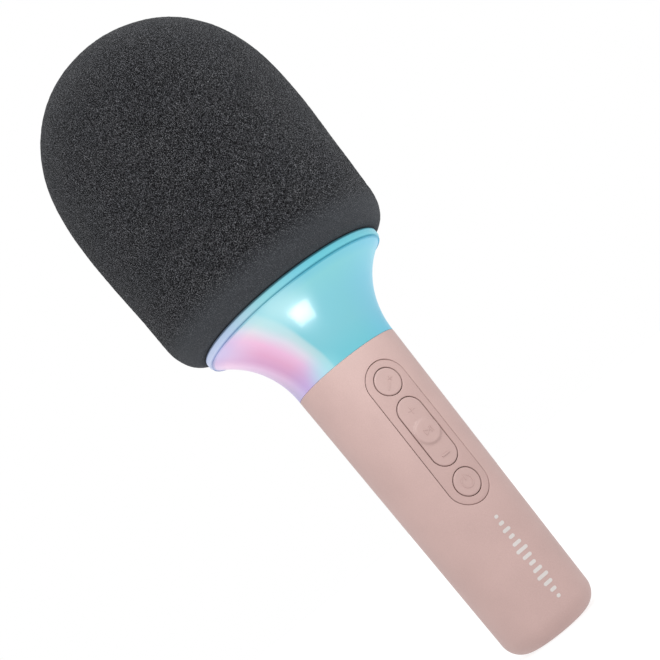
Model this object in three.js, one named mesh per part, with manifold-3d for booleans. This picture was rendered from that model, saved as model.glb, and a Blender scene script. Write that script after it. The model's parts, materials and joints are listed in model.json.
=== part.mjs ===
// Toy karaoke microphone: a foam head, a flared light neck and a tapered handle
// with a button panel. Millimetres, +Z up along the microphone's axis, origin at
// the centre of the flat bottom, buttons facing -Y.

import * as THREE from "three";
import { mergeVertices } from "three/addons/utils/BufferGeometryUtils.js";
import Module from "manifold-3d";

const wasm = await Module();
wasm.setup();

// ---------------------------------------------------------------- dimensions

const TOTAL_HEIGHT = 245;
const GAP = 0.3; // between pieces that touch or slide

// Handle: a tapered tube with a rounded, closed bottom
const HANDLE_BOTTOM_R = 16.9;
const HANDLE_TOP_R = 19.4;
const SEAM_Z = 107; // top of the handle
const WALL = 2.2;
const FLOOR = 2.4;
const BASE_FILLET = 7;

// Posts inside the handle that take the neck screws
const BOSS_R = 2.6;
const BOSS_Z = [89, 99];
const BOSS_PILOT_R = 1.55;
const BOSS_PILOT_Z = 91; // floor of the screw's hole
const BOSS_RIB_R = 17.8; // outer end of the rib that ties a post to the wall
const BOSS_RIB_HALF = 1.1;

// Control panel and its buttons, on one centre line
const PANEL_Z = 73.4;
const PANEL_LENGTH = 54;
const PANEL_WIDTH = 14.5;
const PANEL_INSET = 0.35; // the panel's face below the handle's surface
const PANEL_THICKNESS = 2.05;
const BUTTON_PITCH = 19.7; // round buttons, each side of the panel's middle
const BUTTON_R = 4.6;
const ROCKER_LENGTH = 25.4;
const PIVOT_Y = -14.5; // tilt axis of the volume rocker
const SWITCH_PITCH = 9; // volume switches, each side of the panel's middle
const THROUGH_FRONT = [-25, -5]; // depth of cuts through the front wall
const FLANGE_OVERLAP = 0.6; // a round button's flange behind its hole
const FLANGE_THICKNESS = 1.2;
const STEM_R = 1.4;
const ROCKER_BACK_Y = PIVOT_Y + 0.8;
const ROCKER_EAR_X = BUTTON_R + 0.9;
const ROCKER_EAR_HALF = 2;
const STUB_R = 1.5;
const RIDGE_R = 1.2;
const RIDGE_HALF = 3.05;
const POCKET_R = RIDGE_R + 0.35;
const POCKET_HALF = RIDGE_HALF + 0.35;

// Catches behind the panel's two ends: half width, then y and z of each block
const CATCH_HALF = 2;
const CATCHES = [
  [[-16.7, -15.4], [98.9, 101.4]],
  [[-17.4, -15.4], [98.9, 99.9]],
  [[-15.4, -14.2], [45.2, 48.5]],
  [[-16.2, -14.2], [47.5, 48.5]],
];

// Neck: a concave flare whose arc starts vertical at the seam
const FLARE_R = 30.8;
const FLARE_ANGLE = Math.PI / 3;
const FLARE_CENTRE_R = HANDLE_TOP_R + FLARE_R;
const SPIGOT_R = 16.7;
const SPIGOT_Z = 102; // underside of the neck's floor
const LEDGE_Z = 109; // ledge that carries the LED board
const SPIGOT_WALL = 1.3;
const NECK_FLOOR = 1.8;
const CABLE_HOLE_R = 9.2;
const REFLECTOR_Z = [113.5, 131];
const REFLECTOR_GAP = 0.4;
const REFLECTOR_WALL = 1;

// Rim ring under the foam
const RIM_R = 35.5;
const RIM_Z = 134;
const RIM_TOP_Z = 136.7;
const COLLAR_R = 30.8; // the rim ring's collar, inside the basket
const COLLAR_TOP_Z = 141;
const COLLAR_WALL = 2.2;
const RIM_BEVEL = 0.5;

// Head: grille basket and foam windscreen
const HEAD_FOOT_Z = 137;
const BASKET_R = 32.6;
const BASKET_WALL = 1.4;
const BASKET_SHOULDER_Z = 190;
const BASKET_DOME = 41;
const RIB_COUNT = 12;
const WINDOW_ROWS = [[151, 171], [176, 206]];
const WINDOW_WIDTH = [-5.2, 5.2];
const SLEEVE_R = [6.8, 8.2]; // sleeve inside the basket's top, round the capsule boot
const SLEEVE_FOOT_Z = 216;
const FOAM_BORE_R = 33;
const FOAM_BORE_DOME = 42;
const FOAM_UNDER_R = 35.5;
const FOAM_LOW_R = 43.05;
const FOAM_LOW_Z = 149;
const FOAM_R = 44.9;
const FOAM_WIDEST_Z = 186;
const DOME_POWER = 2.8; // superellipse exponent of the foam's dome

// Microphone capsule in its boot, at the top of the basket
const BOOT_R = 6.5;
const BOOT_Z = [214, 226.5];
const BOOT_FLOOR_Z = 218;
const CAPSULE_R = 4.85;
const CAPSULE_Z = [218.3, 225.2];

// Speaker, facing up under the basket
const PLATE_Z = [141.3, 143.3];
const PLATE_HOLE_R = 22.4;
const GASKET_R = [22.8, 24.8];
const GASKET_Z = [143.6, 144.4];
const FLANGE_Z = 144.7;
const FLANGE_TOP_Z = FLANGE_Z + 1.5;
const SPEAKER_R = 25;
const SPEAKER_NECK_Z = 130.8; // underside of the speaker's frame
const SPEAKER_SHEET = 1;
const SPEAKER_WINDOW_HALF = 7;
const SPEAKER_WINDOW_Z = [134, 142];
const MAGNET_R = 14.5;
const MAGNET_Z = [119.5, 130.5];
const MAGNET_PLATE = 2; // steel plates at the magnet's two ends
const SPEAKER_SCREW_R = 26.9;
const SPEAKER_SCREW_ANGLES = [1, 3, 5, 7].map((eighth) => (eighth * Math.PI) / 4);

// Screws that clamp the neck and the inner frame to the handle
const NECK_SCREW_R = 13;
const NECK_SCREW_ANGLES = [0, Math.PI / 2, Math.PI];
const NECK_SCREW_HOLE_R = 1.6;

// Board, battery and frame inside the handle
const BOARD_FRONT_Y = -7.5;
const BOARD_BACK_Y = -6.3;
const BOARD_HALF_WIDTH = 10.8;
const BOARD_Z = [4.5, 98];
const BOARD_SCREWS = [[8, 90], [-8, 15]]; // x, z
const BOARD_SCREW_HOLE_R = 1.3;
const FRAME_HALF_WIDTH = 11.5;
const FRAME_FOOT_Z = 12;
const FRAME_WEB_Y = [-5.7, -4.65];
const FRAME_FLANGE_Z = [99.4, 101.6];
const FRAME_FLANGE_R = 16.5;
const RAIL_FRONT_Y = -8.2;
const RAIL_WIDTH = 1;
const RAIL_STARTS = [-12.1, 11.1];
const CRADLE_Z = [28, 68];
const CRADLE_R = [9.5, 10.7];
const CRADLE_HEIGHT = 6;
const CRADLE_OPEN_Y = 9; // the cradles are open behind this
const SHELF_R = 9.3;
const SHELF_Z = [18, 19.7];
const SHELF_HALF = 6;
const BATTERY_Y = 4.8;
const BATTERY_R = 9.15;
const BATTERY_Z = [20, 85];
const BATTERY_PAD_Y = [14.25, 15.05];
const BATTERY_PAD_Z = [48, 66];
const SWITCH_HALF = 3;
const SWITCH_TOP_Y = -11; // face of each switch's housing
const PLUNGER_R = 1.6;
const PLUNGER_TIP_Y = -12.2;
const SOCKET_Y = -4.4;
const SOCKET_WIDTH = 8.94;
const SOCKET_HEIGHT = 3.26;
const SOCKET_DEPTH = 7.4;
const SOCKET_FOOT_Z = 1;
const SOCKET_SHEET = 0.35;

// LED board on the neck's ledge
const LED_BOARD_HOLE_R = 9.4;
const LED_BOARD_Z = [LEDGE_Z + GAP, LEDGE_Z + 1.5];
const LED_COUNT = 6;
const LED_RING_R = 12.9;
const LED_HALF = 1.75;
const LED_HEIGHT = 1.9;

// Wires: radius, steps along the wire, then the points that it passes
const BATTERY_LEAD = [0.8, 12, [[0, 4.8, 85.5], [0, 3.4, 88.4], [0, -1.2, 90], [0, -5.9, 90]]];
const LED_LEAD = [0.6, 14, [
  [0, -10.6, 111.5],
  [0, -8.6, 112.2],
  [0, -7, 109.5],
  [0, -6.9, 104],
  [0, -6.9, 98.4],
]];
const SPEAKER_LEAD = [0.7, 16, [
  [3, -17.2, 129.5],
  [3, -16.4, 124],
  [3, -15.7, 119],
  [3, -11.5, 115.4],
  [3, -7.6, 111.5],
  [3, -6.9, 106],
  [3, -6.9, 98.4],
]];
const CAPSULE_LEAD = [0.9, 32, [
  [0, 0, 217.6],
  [0, 0.2, 212],
  [0, 9, 200],
  [0, 23, 184],
  [0, 27, 168],
  [0, 26.9, 150],
  [0, 26.9, 140],
  [0, 23.6, 131],
  [0, 18.4, 125],
  [0, 16.1, 120],
  [-1, 11.5, 116],
  [-2.4, 2, 113],
  [-3, -5.4, 110.5],
  [-3, -6.9, 105.5],
  [-3, -6.9, 98.4],
]];

// Facets round a full turn, and round half a turn of an outline
const FINE = 32;
const MEDIUM = 16;
const COARSE = 8;
const MEDIUM_ARC = 12;
const COARSE_ARC = 6;

// ------------------------------------------------------------------- finishes

const FOAM = { color: 0x3b3c3d, roughness: 1, metalness: 0 };
const PINK = { color: 0xcfaea8, roughness: 0.55, metalness: 0 };
const AQUA = { color: 0x86d0de, roughness: 0.15, metalness: 0 };
const WHITE = { color: 0xf2f2ee, roughness: 0.5, metalness: 0 };
const GREY = { color: 0x6d6f72, roughness: 0.6, metalness: 0 };
const BLACK = { color: 0x1d1e20, roughness: 0.6, metalness: 0 };
const BOARD_GREEN = { color: 0x1d6b45, roughness: 0.45, metalness: 0 };
const STEEL = { color: 0xb9bcc0, roughness: 0.3, metalness: 1 };
const CELL_BLUE = { color: 0x3c7fb8, roughness: 0.4, metalness: 0 };
const WIRE_RED = { color: 0xb2322c, roughness: 0.5, metalness: 0 };

// ------------------------------------------------------------ shape functions

// A closed geometry as a solid that can be joined and cut.
function solid(geometry) {
  const bare = geometry.index ? geometry.toNonIndexed() : geometry;
  bare.deleteAttribute("normal");
  bare.deleteAttribute("uv");
  const merged = mergeVertices(bare, 1e-4);
  return new wasm.Manifold(
    new wasm.Mesh({
      numProp: 3,
      vertProperties: new Float32Array(merged.attributes.position.array),
      triVerts: new Uint32Array(merged.index.array),
    }),
  );
}

// Points along an arc in the profile's plane, both ends included.
function arc(centreR, centreZ, radius, from, to, steps) {
  const points = [];
  for (let i = 0; i <= steps; i++) {
    const angle = from + ((to - from) * i) / steps;
    points.push([centreR + radius * Math.cos(angle), centreZ + radius * Math.sin(angle)]);
  }
  return points;
}

// A profile of [radius, height] points turned about Z. It runs anticlockwise.
function turned(profile, segments = FINE) {
  const points = profile.map(([r, z]) => new THREE.Vector2(Math.max(r, 0), z));
  return solid(new THREE.LatheGeometry(points, segments).rotateX(Math.PI / 2));
}

// The same for a profile that doesn't touch the axis and closes on itself.
function ring(profile, segments = FINE) {
  return turned([...profile, profile[0]], segments);
}

// A plain ring between two radii and two heights.
function washer(innerR, outerR, z0, z1, segments = FINE) {
  return ring([[innerR, z0], [outerR, z0], [outerR, z1], [innerR, z1]], segments);
}

// A box from its lowest and highest corners.
function box([x0, x1], [y0, y1], [z0, z1], turn = 0) {
  const geometry = new THREE.BoxGeometry(x1 - x0, y1 - y0, z1 - z0);
  geometry.translate((x0 + x1) / 2, (y0 + y1) / 2, (z0 + z1) / 2);
  return solid(geometry.rotateZ(turn));
}

// Round rods along Z, Y and X.
function rodZ(radius, z0, z1, x = 0, y = 0, segments = COARSE) {
  const geometry = new THREE.CylinderGeometry(radius, radius, z1 - z0, segments);
  return solid(geometry.rotateX(Math.PI / 2).translate(x, y, (z0 + z1) / 2));
}

function rodY(radius, y0, y1, x = 0, z = 0, segments = COARSE) {
  const geometry = new THREE.CylinderGeometry(radius, radius, y1 - y0, segments);
  return solid(geometry.translate(x, (y0 + y1) / 2, z));
}

function rodX(radius, x0, x1, y, z) {
  const geometry = new THREE.CylinderGeometry(radius, radius, x1 - x0, COARSE);
  return solid(geometry.rotateZ(Math.PI / 2).translate((x0 + x1) / 2, y, z));
}

// An outline with two round ends, its length along the outline's second axis.
function roundEnded(length, width, steps) {
  const r = width / 2;
  const reach = length / 2 - r;
  const points = [
    ...arc(0, reach, r, 0, Math.PI, steps),
    ...arc(0, -reach, r, Math.PI, 2 * Math.PI, steps),
  ];
  return new THREE.Shape(points.map(([x, z]) => new THREE.Vector2(x, z)));
}

// A round-ended bar through the handle's front, centred at height z.
function frontBar(length, width, [y0, y1], z) {
  const geometry = new THREE.ExtrudeGeometry(roundEnded(length, width, MEDIUM_ARC), {
    depth: y1 - y0,
    bevelEnabled: false,
    curveSegments: 1,
  });
  return solid(geometry.rotateX(Math.PI / 2).translate(0, y1, z));
}

// A round wire along a smooth curve through the given points.
function wire([radius, steps, points]) {
  const curve = new THREE.CatmullRomCurve3(points.map((p) => new THREE.Vector3(...p)));
  const section = new THREE.Shape(
    arc(0, 0, radius, 0, 1.75 * Math.PI, 7).map(([x, y]) => new THREE.Vector2(x, y)),
  );
  return solid(
    new THREE.ExtrudeGeometry(section, { steps, extrudePath: curve, curveSegments: 1 }),
  );
}

// A point on a circle about the axis, at an angle in radians.
function onCircle(radius, angle) {
  return [radius * Math.cos(angle), radius * Math.sin(angle)];
}

function joined(first, ...others) {
  return others.reduce((sum, other) => sum.add(other), first);
}

function cut(first, ...others) {
  return others.reduce((rest, other) => rest.subtract(other), first);
}

// A named mesh of a solid, with its own material.
function piece(parent, name, shape, finish, position = [0, 0, 0]) {
  const { numProp, vertProperties, triVerts } = shape.getMesh();
  const xyz = new Float32Array((vertProperties.length / numProp) * 3);
  for (let i = 0; i * 3 < xyz.length; i++) {
    xyz.set(vertProperties.subarray(i * numProp, i * numProp + 3), i * 3);
  }
  const geometry = new THREE.BufferGeometry();
  geometry.setAttribute("position", new THREE.BufferAttribute(xyz, 3));
  geometry.setIndex(new THREE.BufferAttribute(new Uint32Array(triVerts), 1));
  const faceted = geometry.toNonIndexed();
  faceted.computeVertexNormals();
  const mesh = new THREE.Mesh(faceted, new THREE.MeshStandardMaterial(finish));
  mesh.name = name;
  mesh.position.set(...position);
  parent.add(mesh);
  return mesh;
}

// Radius of the handle's outer surface at a height.
function handleRadius(z) {
  return HANDLE_BOTTOM_R + ((HANDLE_TOP_R - HANDLE_BOTTOM_R) * z) / SEAM_Z;
}

const panelFaceRadius = (z) => handleRadius(z) - PANEL_INSET;
const panelBackRadius = (z) => panelFaceRadius(z) - PANEL_THICKNESS;

// The solid cone under the panel's face, for faces that follow it.
function faceCore(z0, z1) {
  return turned([[0, z0], [panelFaceRadius(z0), z0], [panelFaceRadius(z1), z1], [0, z1]]);
}

// Radius of the flare's outer or inner arc at a height, for a given arc radius.
function flareRadius(arcRadius, z) {
  return FLARE_CENTRE_R - Math.sqrt(arcRadius ** 2 - (z - SEAM_Z) ** 2);
}

// The flare's arc between two heights, as profile points.
function flareArc(arcRadius, z0, z1, steps) {
  const angle = (z) => Math.PI - Math.asin((z - SEAM_Z) / arcRadius);
  return arc(FLARE_CENTRE_R, SEAM_Z, arcRadius, angle(z0), angle(z1), steps);
}

// --------------------------------------------------------------------- handle

function handleTube() {
  const fillet = handleRadius(BASE_FILLET) - BASE_FILLET;
  const insideFillet = BASE_FILLET - WALL;
  const shell = turned([
    [0, 0],
    ...arc(fillet, BASE_FILLET, BASE_FILLET, -Math.PI / 2, 0, 6),
    [HANDLE_TOP_R, SEAM_Z],
    [HANDLE_TOP_R - WALL, SEAM_Z],
    ...arc(fillet, FLOOR + insideFillet, insideFillet, 0, -Math.PI / 2, 4),
    [0, FLOOR],
  ]);
  const bosses = NECK_SCREW_ANGLES.map((angle) => {
    const [foot, top] = BOSS_Z;
    const [x, y] = onCircle(NECK_SCREW_R, angle);
    const post = rodZ(BOSS_R, foot, top, x, y);
    const rib = box([NECK_SCREW_R, BOSS_RIB_R], [-BOSS_RIB_HALF, BOSS_RIB_HALF], BOSS_Z, angle);
    return cut(post.add(rib), rodZ(BOSS_PILOT_R, BOSS_PILOT_Z, top + 1, x, y));
  });
  const opening = frontBar(PANEL_LENGTH + 2 * GAP, PANEL_WIDTH + 2 * GAP, THROUGH_FRONT, PANEL_Z);
  const slot = new THREE.ExtrudeGeometry(
    roundEnded(SOCKET_WIDTH + 2 * GAP, SOCKET_HEIGHT + 2 * GAP, COARSE_ARC),
    { depth: 2 * FLOOR, bevelEnabled: false },
  );
  slot.rotateZ(Math.PI / 2).translate(0, SOCKET_Y, -FLOOR / 2);
  return cut(joined(shell, ...bosses), opening, solid(slot));
}

function controlPanel() {
  const z0 = PANEL_Z - PANEL_LENGTH / 2 - 1;
  const z1 = PANEL_Z + PANEL_LENGTH / 2 + 1;
  const skin = ring([
    [panelBackRadius(z0), z0],
    [panelFaceRadius(z0), z0],
    [panelFaceRadius(z1), z1],
    [panelBackRadius(z1), z1],
  ]);
  const blank = skin.intersect(frontBar(PANEL_LENGTH, PANEL_WIDTH, THROUGH_FRONT, PANEL_Z));
  const buttonHoles = [-BUTTON_PITCH, BUTTON_PITCH].map((dz) =>
    rodY(BUTTON_R + GAP, ...THROUGH_FRONT, 0, PANEL_Z + dz, MEDIUM),
  );
  const rockerWidth = 2 * (BUTTON_R + GAP);
  const rockerHole = frontBar(ROCKER_LENGTH + 2 * GAP, rockerWidth, THROUGH_FRONT, PANEL_Z);
  const catches = CATCHES.map(([y, z]) => box([-CATCH_HALF, CATCH_HALF], y, z));
  return joined(cut(blank, ...buttonHoles, rockerHole), ...catches);
}

// Front of a button's retaining flange, clear of the curved back of the panel.
function flangeFront(z, halfWidth) {
  return GAP - Math.sqrt(panelBackRadius(z) ** 2 - halfWidth ** 2);
}

// A round button: curved face, retaining flange and a stem to its plunger.
function roundButton(z) {
  const flangeR = BUTTON_R + FLANGE_OVERLAP;
  const front = flangeFront(z - flangeR, flangeR);
  const blank = rodY(BUTTON_R, THROUGH_FRONT[0], front, 0, z, MEDIUM);
  const cap = faceCore(z - 8, z + 8).intersect(blank);
  const flange = rodY(flangeR, front, front + FLANGE_THICKNESS, 0, z, MEDIUM);
  const stem = rodY(STEM_R, front + 1, PLUNGER_TIP_Y - GAP, 0, z);
  return joined(cap, flange, stem);
}

// The pill: side ears retain it, a pocket sits on the pivot, stubs face the switches.
function volumeRocker() {
  const blank = [THROUGH_FRONT[0], ROCKER_BACK_Y];
  const pill = faceCore(PANEL_Z - 16, PANEL_Z + 16).intersect(
    frontBar(ROCKER_LENGTH, 2 * BUTTON_R, blank, PANEL_Z),
  );
  const earZ = [PANEL_Z - ROCKER_EAR_HALF, PANEL_Z + ROCKER_EAR_HALF];
  const earY = [flangeFront(earZ[0], ROCKER_EAR_X), ROCKER_BACK_Y];
  const ears = box([-ROCKER_EAR_X, ROCKER_EAR_X], earY, earZ);
  const stubs = [-SWITCH_PITCH, SWITCH_PITCH].map((dz) =>
    rodY(STUB_R, ROCKER_BACK_Y - 0.2, ROCKER_BACK_Y + 0.65, 0, PANEL_Z + dz),
  );
  const pocket = rodX(POCKET_R, -POCKET_HALF, POCKET_HALF, PIVOT_Y, PANEL_Z);
  const pocketMouth = box(
    [-POCKET_HALF, POCKET_HALF],
    [PIVOT_Y, ROCKER_BACK_Y + 1],
    [PANEL_Z - POCKET_R, PANEL_Z + POCKET_R],
  );
  return cut(joined(pill, ears, ...stubs), pocket, pocketMouth);
}

// The ridge that the pill tilts on; its foot carries a centre press to the switch.
function rockerPivot() {
  const ridge = rodX(RIDGE_R, -RIDGE_HALF, RIDGE_HALF, PIVOT_Y, PANEL_Z);
  const web = box([-2, 2], [PIVOT_Y, -12.9], [PANEL_Z - 1.1, PANEL_Z + 1.1]);
  const foot = rodY(1.8, -13, PLUNGER_TIP_Y - GAP, 0, PANEL_Z);
  return joined(ridge, web, foot);
}

// A 6 mm tact switch standing on the board, drawn round its own centre in z.
function tactSwitch(plungerFixed) {
  const side = [-SWITCH_HALF, SWITCH_HALF];
  const housing = box(side, [SWITCH_TOP_Y, BOARD_FRONT_Y - GAP], side);
  if (plungerFixed) return housing.add(rodY(PLUNGER_R, PLUNGER_TIP_Y, SWITCH_TOP_Y + 1));
  return cut(housing, rodY(PLUNGER_R + 0.35, SWITCH_TOP_Y - 1, SWITCH_TOP_Y + 2.4));
}

function mainBoard() {
  const sheet = box([-BOARD_HALF_WIDTH, BOARD_HALF_WIDTH], [BOARD_FRONT_Y, BOARD_BACK_Y], BOARD_Z);
  return cut(sheet, ...BOARD_SCREWS.map(([x, z]) => rodY(BOARD_SCREW_HOLE_R, -9, -5, x, z)));
}

function boardScrew([x, z]) {
  const head = rodY(1.9, BOARD_FRONT_Y - 1.7, BOARD_FRONT_Y - GAP, x, z);
  return head.add(rodY(0.95, BOARD_FRONT_Y - 0.5, -1.5, x, z));
}

// The sled: a web between board and battery, rails, cradles, a shelf and a flange.
function innerFrame() {
  const [webFront, webBack] = FRAME_WEB_Y;
  const [flangeZ, flangeTop] = FRAME_FLANGE_Z;
  const webZ = [FRAME_FOOT_Z, flangeZ + 0.5];
  const web = box([-FRAME_HALF_WIDTH, FRAME_HALF_WIDTH], FRAME_WEB_Y, webZ);
  const rails = RAIL_STARTS.map((x) => box([x, x + RAIL_WIDTH], [RAIL_FRONT_Y, webBack], webZ));
  const flange = rodZ(FRAME_FLANGE_R, flangeZ, flangeTop, 0, 0, MEDIUM);
  const cradles = CRADLE_Z.map((z) => {
    const hoop = washer(...CRADLE_R, z, z + CRADLE_HEIGHT, MEDIUM).translate(0, BATTERY_Y, 0);
    return cut(hoop, box([-12, 12], [CRADLE_OPEN_Y, 20], [z - 1, z + CRADLE_HEIGHT + 1]));
  });
  const shelf = rodZ(SHELF_R, ...SHELF_Z, 0, BATTERY_Y, MEDIUM).add(
    box([-SHELF_HALF, SHELF_HALF], [webFront, 0], SHELF_Z),
  );
  const bosses = BOARD_SCREWS.map(([x, z]) => rodY(2.2, webFront, -0.5, x, z));
  const screwHoles = BOARD_SCREWS.map(([x, z]) => rodY(BOARD_SCREW_HOLE_R, -9, -1, x, z));
  const neckHoles = NECK_SCREW_ANGLES.map((angle) =>
    rodZ(NECK_SCREW_HOLE_R, 99, 102, ...onCircle(NECK_SCREW_R, angle)),
  );
  const wireSlot = box([-5, 5], [-9, -1], [flangeZ + 0.5, 102]);
  const wireMouth = box([-5, 5], [-9, webFront], [99, 102]);
  const clipNotch = box([-3, 3], [-18, -14.6], [99, 102]);
  const leadWindow = box([-4, 4], [-7, -4], [87, 93]);
  return cut(
    joined(web, ...rails, flange, ...cradles, shelf, ...bosses),
    ...screwHoles,
    ...neckHoles,
    wireSlot,
    wireMouth,
    clipNotch,
    leadWindow,
  );
}

function batteryCell() {
  const [z0, z1] = BATTERY_Z;
  return turned([
    [0, z0],
    [BATTERY_R - 0.5, z0],
    [BATTERY_R, z0 + 0.5],
    [BATTERY_R, z1 - 1.6],
    [BATTERY_R - 0.6, z1 - 1],
    [3, z1 - 1],
    [3, z1],
    [0, z1],
  ], MEDIUM);
}

// The charging socket: a drawn steel shell, closed at the back, round a tongue.
function usbSocket() {
  const outline = (inset) =>
    roundEnded(SOCKET_WIDTH - 2 * inset, SOCKET_HEIGHT - 2 * inset, COARSE_ARC);
  const body = new THREE.ExtrudeGeometry(outline(0), { depth: SOCKET_DEPTH, bevelEnabled: false });
  const cavity = new THREE.ExtrudeGeometry(outline(SOCKET_SHEET), {
    depth: 6.2,
    bevelEnabled: false,
  });
  const shell = solid(body.rotateZ(Math.PI / 2)).subtract(
    solid(cavity.rotateZ(Math.PI / 2).translate(0, 0, -0.5)),
  );
  return shell.add(box([-3.3, 3.3], [-0.35, 0.35], [0.8, 7]));
}

const handle = new THREE.Group();
piece(handle, "handle_tube", handleTube(), PINK);
piece(handle, "control_panel", controlPanel(), PINK);
piece(handle, "effect_button", roundButton(PANEL_Z + BUTTON_PITCH), PINK);
piece(handle, "volume_rocker", volumeRocker(), PINK);
piece(handle, "rocker_pivot", rockerPivot(), WHITE);
piece(handle, "power_button", roundButton(PANEL_Z - BUTTON_PITCH), PINK);

const SWITCHES = {
  effect: BUTTON_PITCH,
  volume_up: SWITCH_PITCH,
  play: 0,
  volume_down: -SWITCH_PITCH,
  power: -BUTTON_PITCH,
};
for (const [use, dz] of Object.entries(SWITCHES)) {
  const plungerFixed = use.startsWith("volume");
  piece(handle, `${use}_switch`, tactSwitch(plungerFixed), BLACK, [0, 0, PANEL_Z + dz]);
  if (plungerFixed) continue;
  const plunger = rodY(PLUNGER_R, PLUNGER_TIP_Y, SWITCH_TOP_Y + 0.8);
  piece(handle, `${use}_plunger`, plunger, WHITE, [0, 0, PANEL_Z + dz]);
}

piece(handle, "main_board", mainBoard(), BOARD_GREEN);
BOARD_SCREWS.forEach((place, i) => {
  piece(handle, `board_screw_${i + 1}`, boardScrew(place), STEEL);
});
const chipBack = BOARD_FRONT_Y - GAP;
piece(handle, "bluetooth_chip", box([-3.5, 3.5], [chipBack - 1, chipBack], [34, 41]), BLACK);
piece(handle, "amplifier_chip", box([-2.5, 2.5], [chipBack - 1.2, chipBack], [25, 30]), BLACK);
piece(handle, "filter_capacitor", rodY(3.2, chipBack - 5.4, chipBack, 0, 16, MEDIUM), STEEL);
piece(handle, "inner_frame", innerFrame(), GREY);
piece(handle, "battery_cell", batteryCell(), CELL_BLUE, [0, BATTERY_Y, 0]);
piece(handle, "battery_pad", box([-3.5, 3.5], BATTERY_PAD_Y, BATTERY_PAD_Z), BLACK);
piece(handle, "battery_lead", wire(BATTERY_LEAD), WIRE_RED);
piece(handle, "usb_socket", usbSocket(), STEEL, [0, SOCKET_Y, SOCKET_FOOT_Z]);

// ----------------------------------------------------------------------- neck

// The flared cone with its spigot, floor and ledge.
function lightCone() {
  const top = SEAM_Z + FLARE_R * Math.sin(FLARE_ANGLE);
  const bottom = SEAM_Z + GAP;
  const body = ring([
    [CABLE_HOLE_R, SPIGOT_Z],
    [SPIGOT_R, SPIGOT_Z],
    [SPIGOT_R, bottom],
    ...flareArc(FLARE_R, bottom, top, 7),
    ...flareArc(FLARE_R + WALL, top, LEDGE_Z, 6),
    [SPIGOT_R - SPIGOT_WALL, LEDGE_Z],
    [SPIGOT_R - SPIGOT_WALL, SPIGOT_Z + NECK_FLOOR],
    [CABLE_HOLE_R, SPIGOT_Z + NECK_FLOOR],
  ]);
  const holes = NECK_SCREW_ANGLES.map((angle) =>
    rodZ(NECK_SCREW_HOLE_R, 101, 105, ...onCircle(NECK_SCREW_R, angle)),
  );
  return cut(body, ...holes);
}

// The lip under the foam, and the collar that the basket stands round.
function rimRing() {
  const under = flareRadius(FLARE_R, SEAM_Z + FLARE_R * Math.sin(FLARE_ANGLE));
  return ring([
    [COLLAR_R - COLLAR_WALL, RIM_Z],
    [under, RIM_Z],
    [RIM_R, RIM_Z + RIM_BEVEL],
    [RIM_R, RIM_TOP_Z - RIM_BEVEL],
    [RIM_R - RIM_BEVEL, RIM_TOP_Z],
    [COLLAR_R, RIM_TOP_Z],
    [COLLAR_R, COLLAR_TOP_Z],
    [COLLAR_R - COLLAR_WALL, COLLAR_TOP_Z],
  ]);
}

function coneReflector() {
  const outer = FLARE_R + WALL + REFLECTOR_GAP;
  const [low, high] = REFLECTOR_Z;
  const inner = outer + REFLECTOR_WALL;
  return ring([...flareArc(outer, low, high, 4), ...flareArc(inner, high, low, 4)], MEDIUM);
}

// A screw's head and shank: it runs from the neck's floor down into a post.
function neckScrew() {
  return rodZ(2, 104.1, 105.9).add(rodZ(1.2, 91.5, 104.5));
}

const neck = new THREE.Group();
piece(neck, "light_cone", lightCone(), AQUA);
piece(neck, "rim_ring", rimRing(), AQUA);
piece(neck, "cone_reflector", coneReflector(), WHITE);
piece(neck, "led_board", washer(LED_BOARD_HOLE_R, SPIGOT_R, ...LED_BOARD_Z, MEDIUM), WHITE);
for (let i = 0; i < LED_COUNT; i++) {
  const side = [-LED_HALF, LED_HALF];
  const angle = (2 * Math.PI * i) / LED_COUNT;
  const place = [...onCircle(LED_RING_R, angle), LED_BOARD_Z[1] + GAP];
  const led = piece(neck, `led_${i + 1}`, box(side, side, [0, LED_HEIGHT]), WHITE, place);
  led.rotation.z = angle;
}
NECK_SCREW_ANGLES.forEach((angle, i) => {
  const place = [...onCircle(NECK_SCREW_R, angle), 0];
  piece(neck, `neck_screw_${i + 1}`, neckScrew(), STEEL, place);
});
piece(neck, "led_lead", wire(LED_LEAD), WIRE_RED);

// ----------------------------------------------------------------------- head

// The speaker's pressed basket: a small floor, a sloping wall with windows, a flange.
function speakerFrame() {
  const shell = ring([
    [7, SPEAKER_NECK_Z],
    [15.5, SPEAKER_NECK_Z],
    [21.6, FLANGE_Z],
    [SPEAKER_R, FLANGE_Z],
    [SPEAKER_R, FLANGE_TOP_Z],
    [20.9, FLANGE_TOP_Z],
    [14.8, SPEAKER_NECK_Z + SPEAKER_SHEET],
    [7, SPEAKER_NECK_Z + SPEAKER_SHEET],
  ], MEDIUM);
  const across = [-SPEAKER_WINDOW_HALF, SPEAKER_WINDOW_HALF];
  const windows = [0, Math.PI / 2].map((turn) => box([-30, 30], across, SPEAKER_WINDOW_Z, turn));
  return cut(shell, ...windows);
}

// Cone, dust cap and rolled surround, as one thin sheet.
function speakerCone() {
  const top = FLANGE_TOP_Z + GAP;
  const edge = SPEAKER_R - 1.2;
  return turned([
    [0, 137.4],
    [6.2, 136.4],
    [18.6, 145.8],
    [20, 147.4],
    [21.2, top],
    [edge, top],
    [edge, top + 0.7],
    [21.4, top + 0.7],
    [20, 148.3],
    [18.2, 146.8],
    [6.4, 137.6],
    [3.5, 139],
    [0, 139.4],
  ], MEDIUM);
}

// A ferrite ring between two slightly smaller steel plates.
function speakerMagnet() {
  const [low, high] = MAGNET_Z;
  const plateR = MAGNET_R - 1;
  return turned([
    [0, low],
    [plateR, low],
    [plateR, low + MAGNET_PLATE],
    [MAGNET_R, low + MAGNET_PLATE],
    [MAGNET_R, high - MAGNET_PLATE],
    [plateR, high - MAGNET_PLATE],
    [plateR, high],
    [0, high],
  ], MEDIUM);
}

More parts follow.
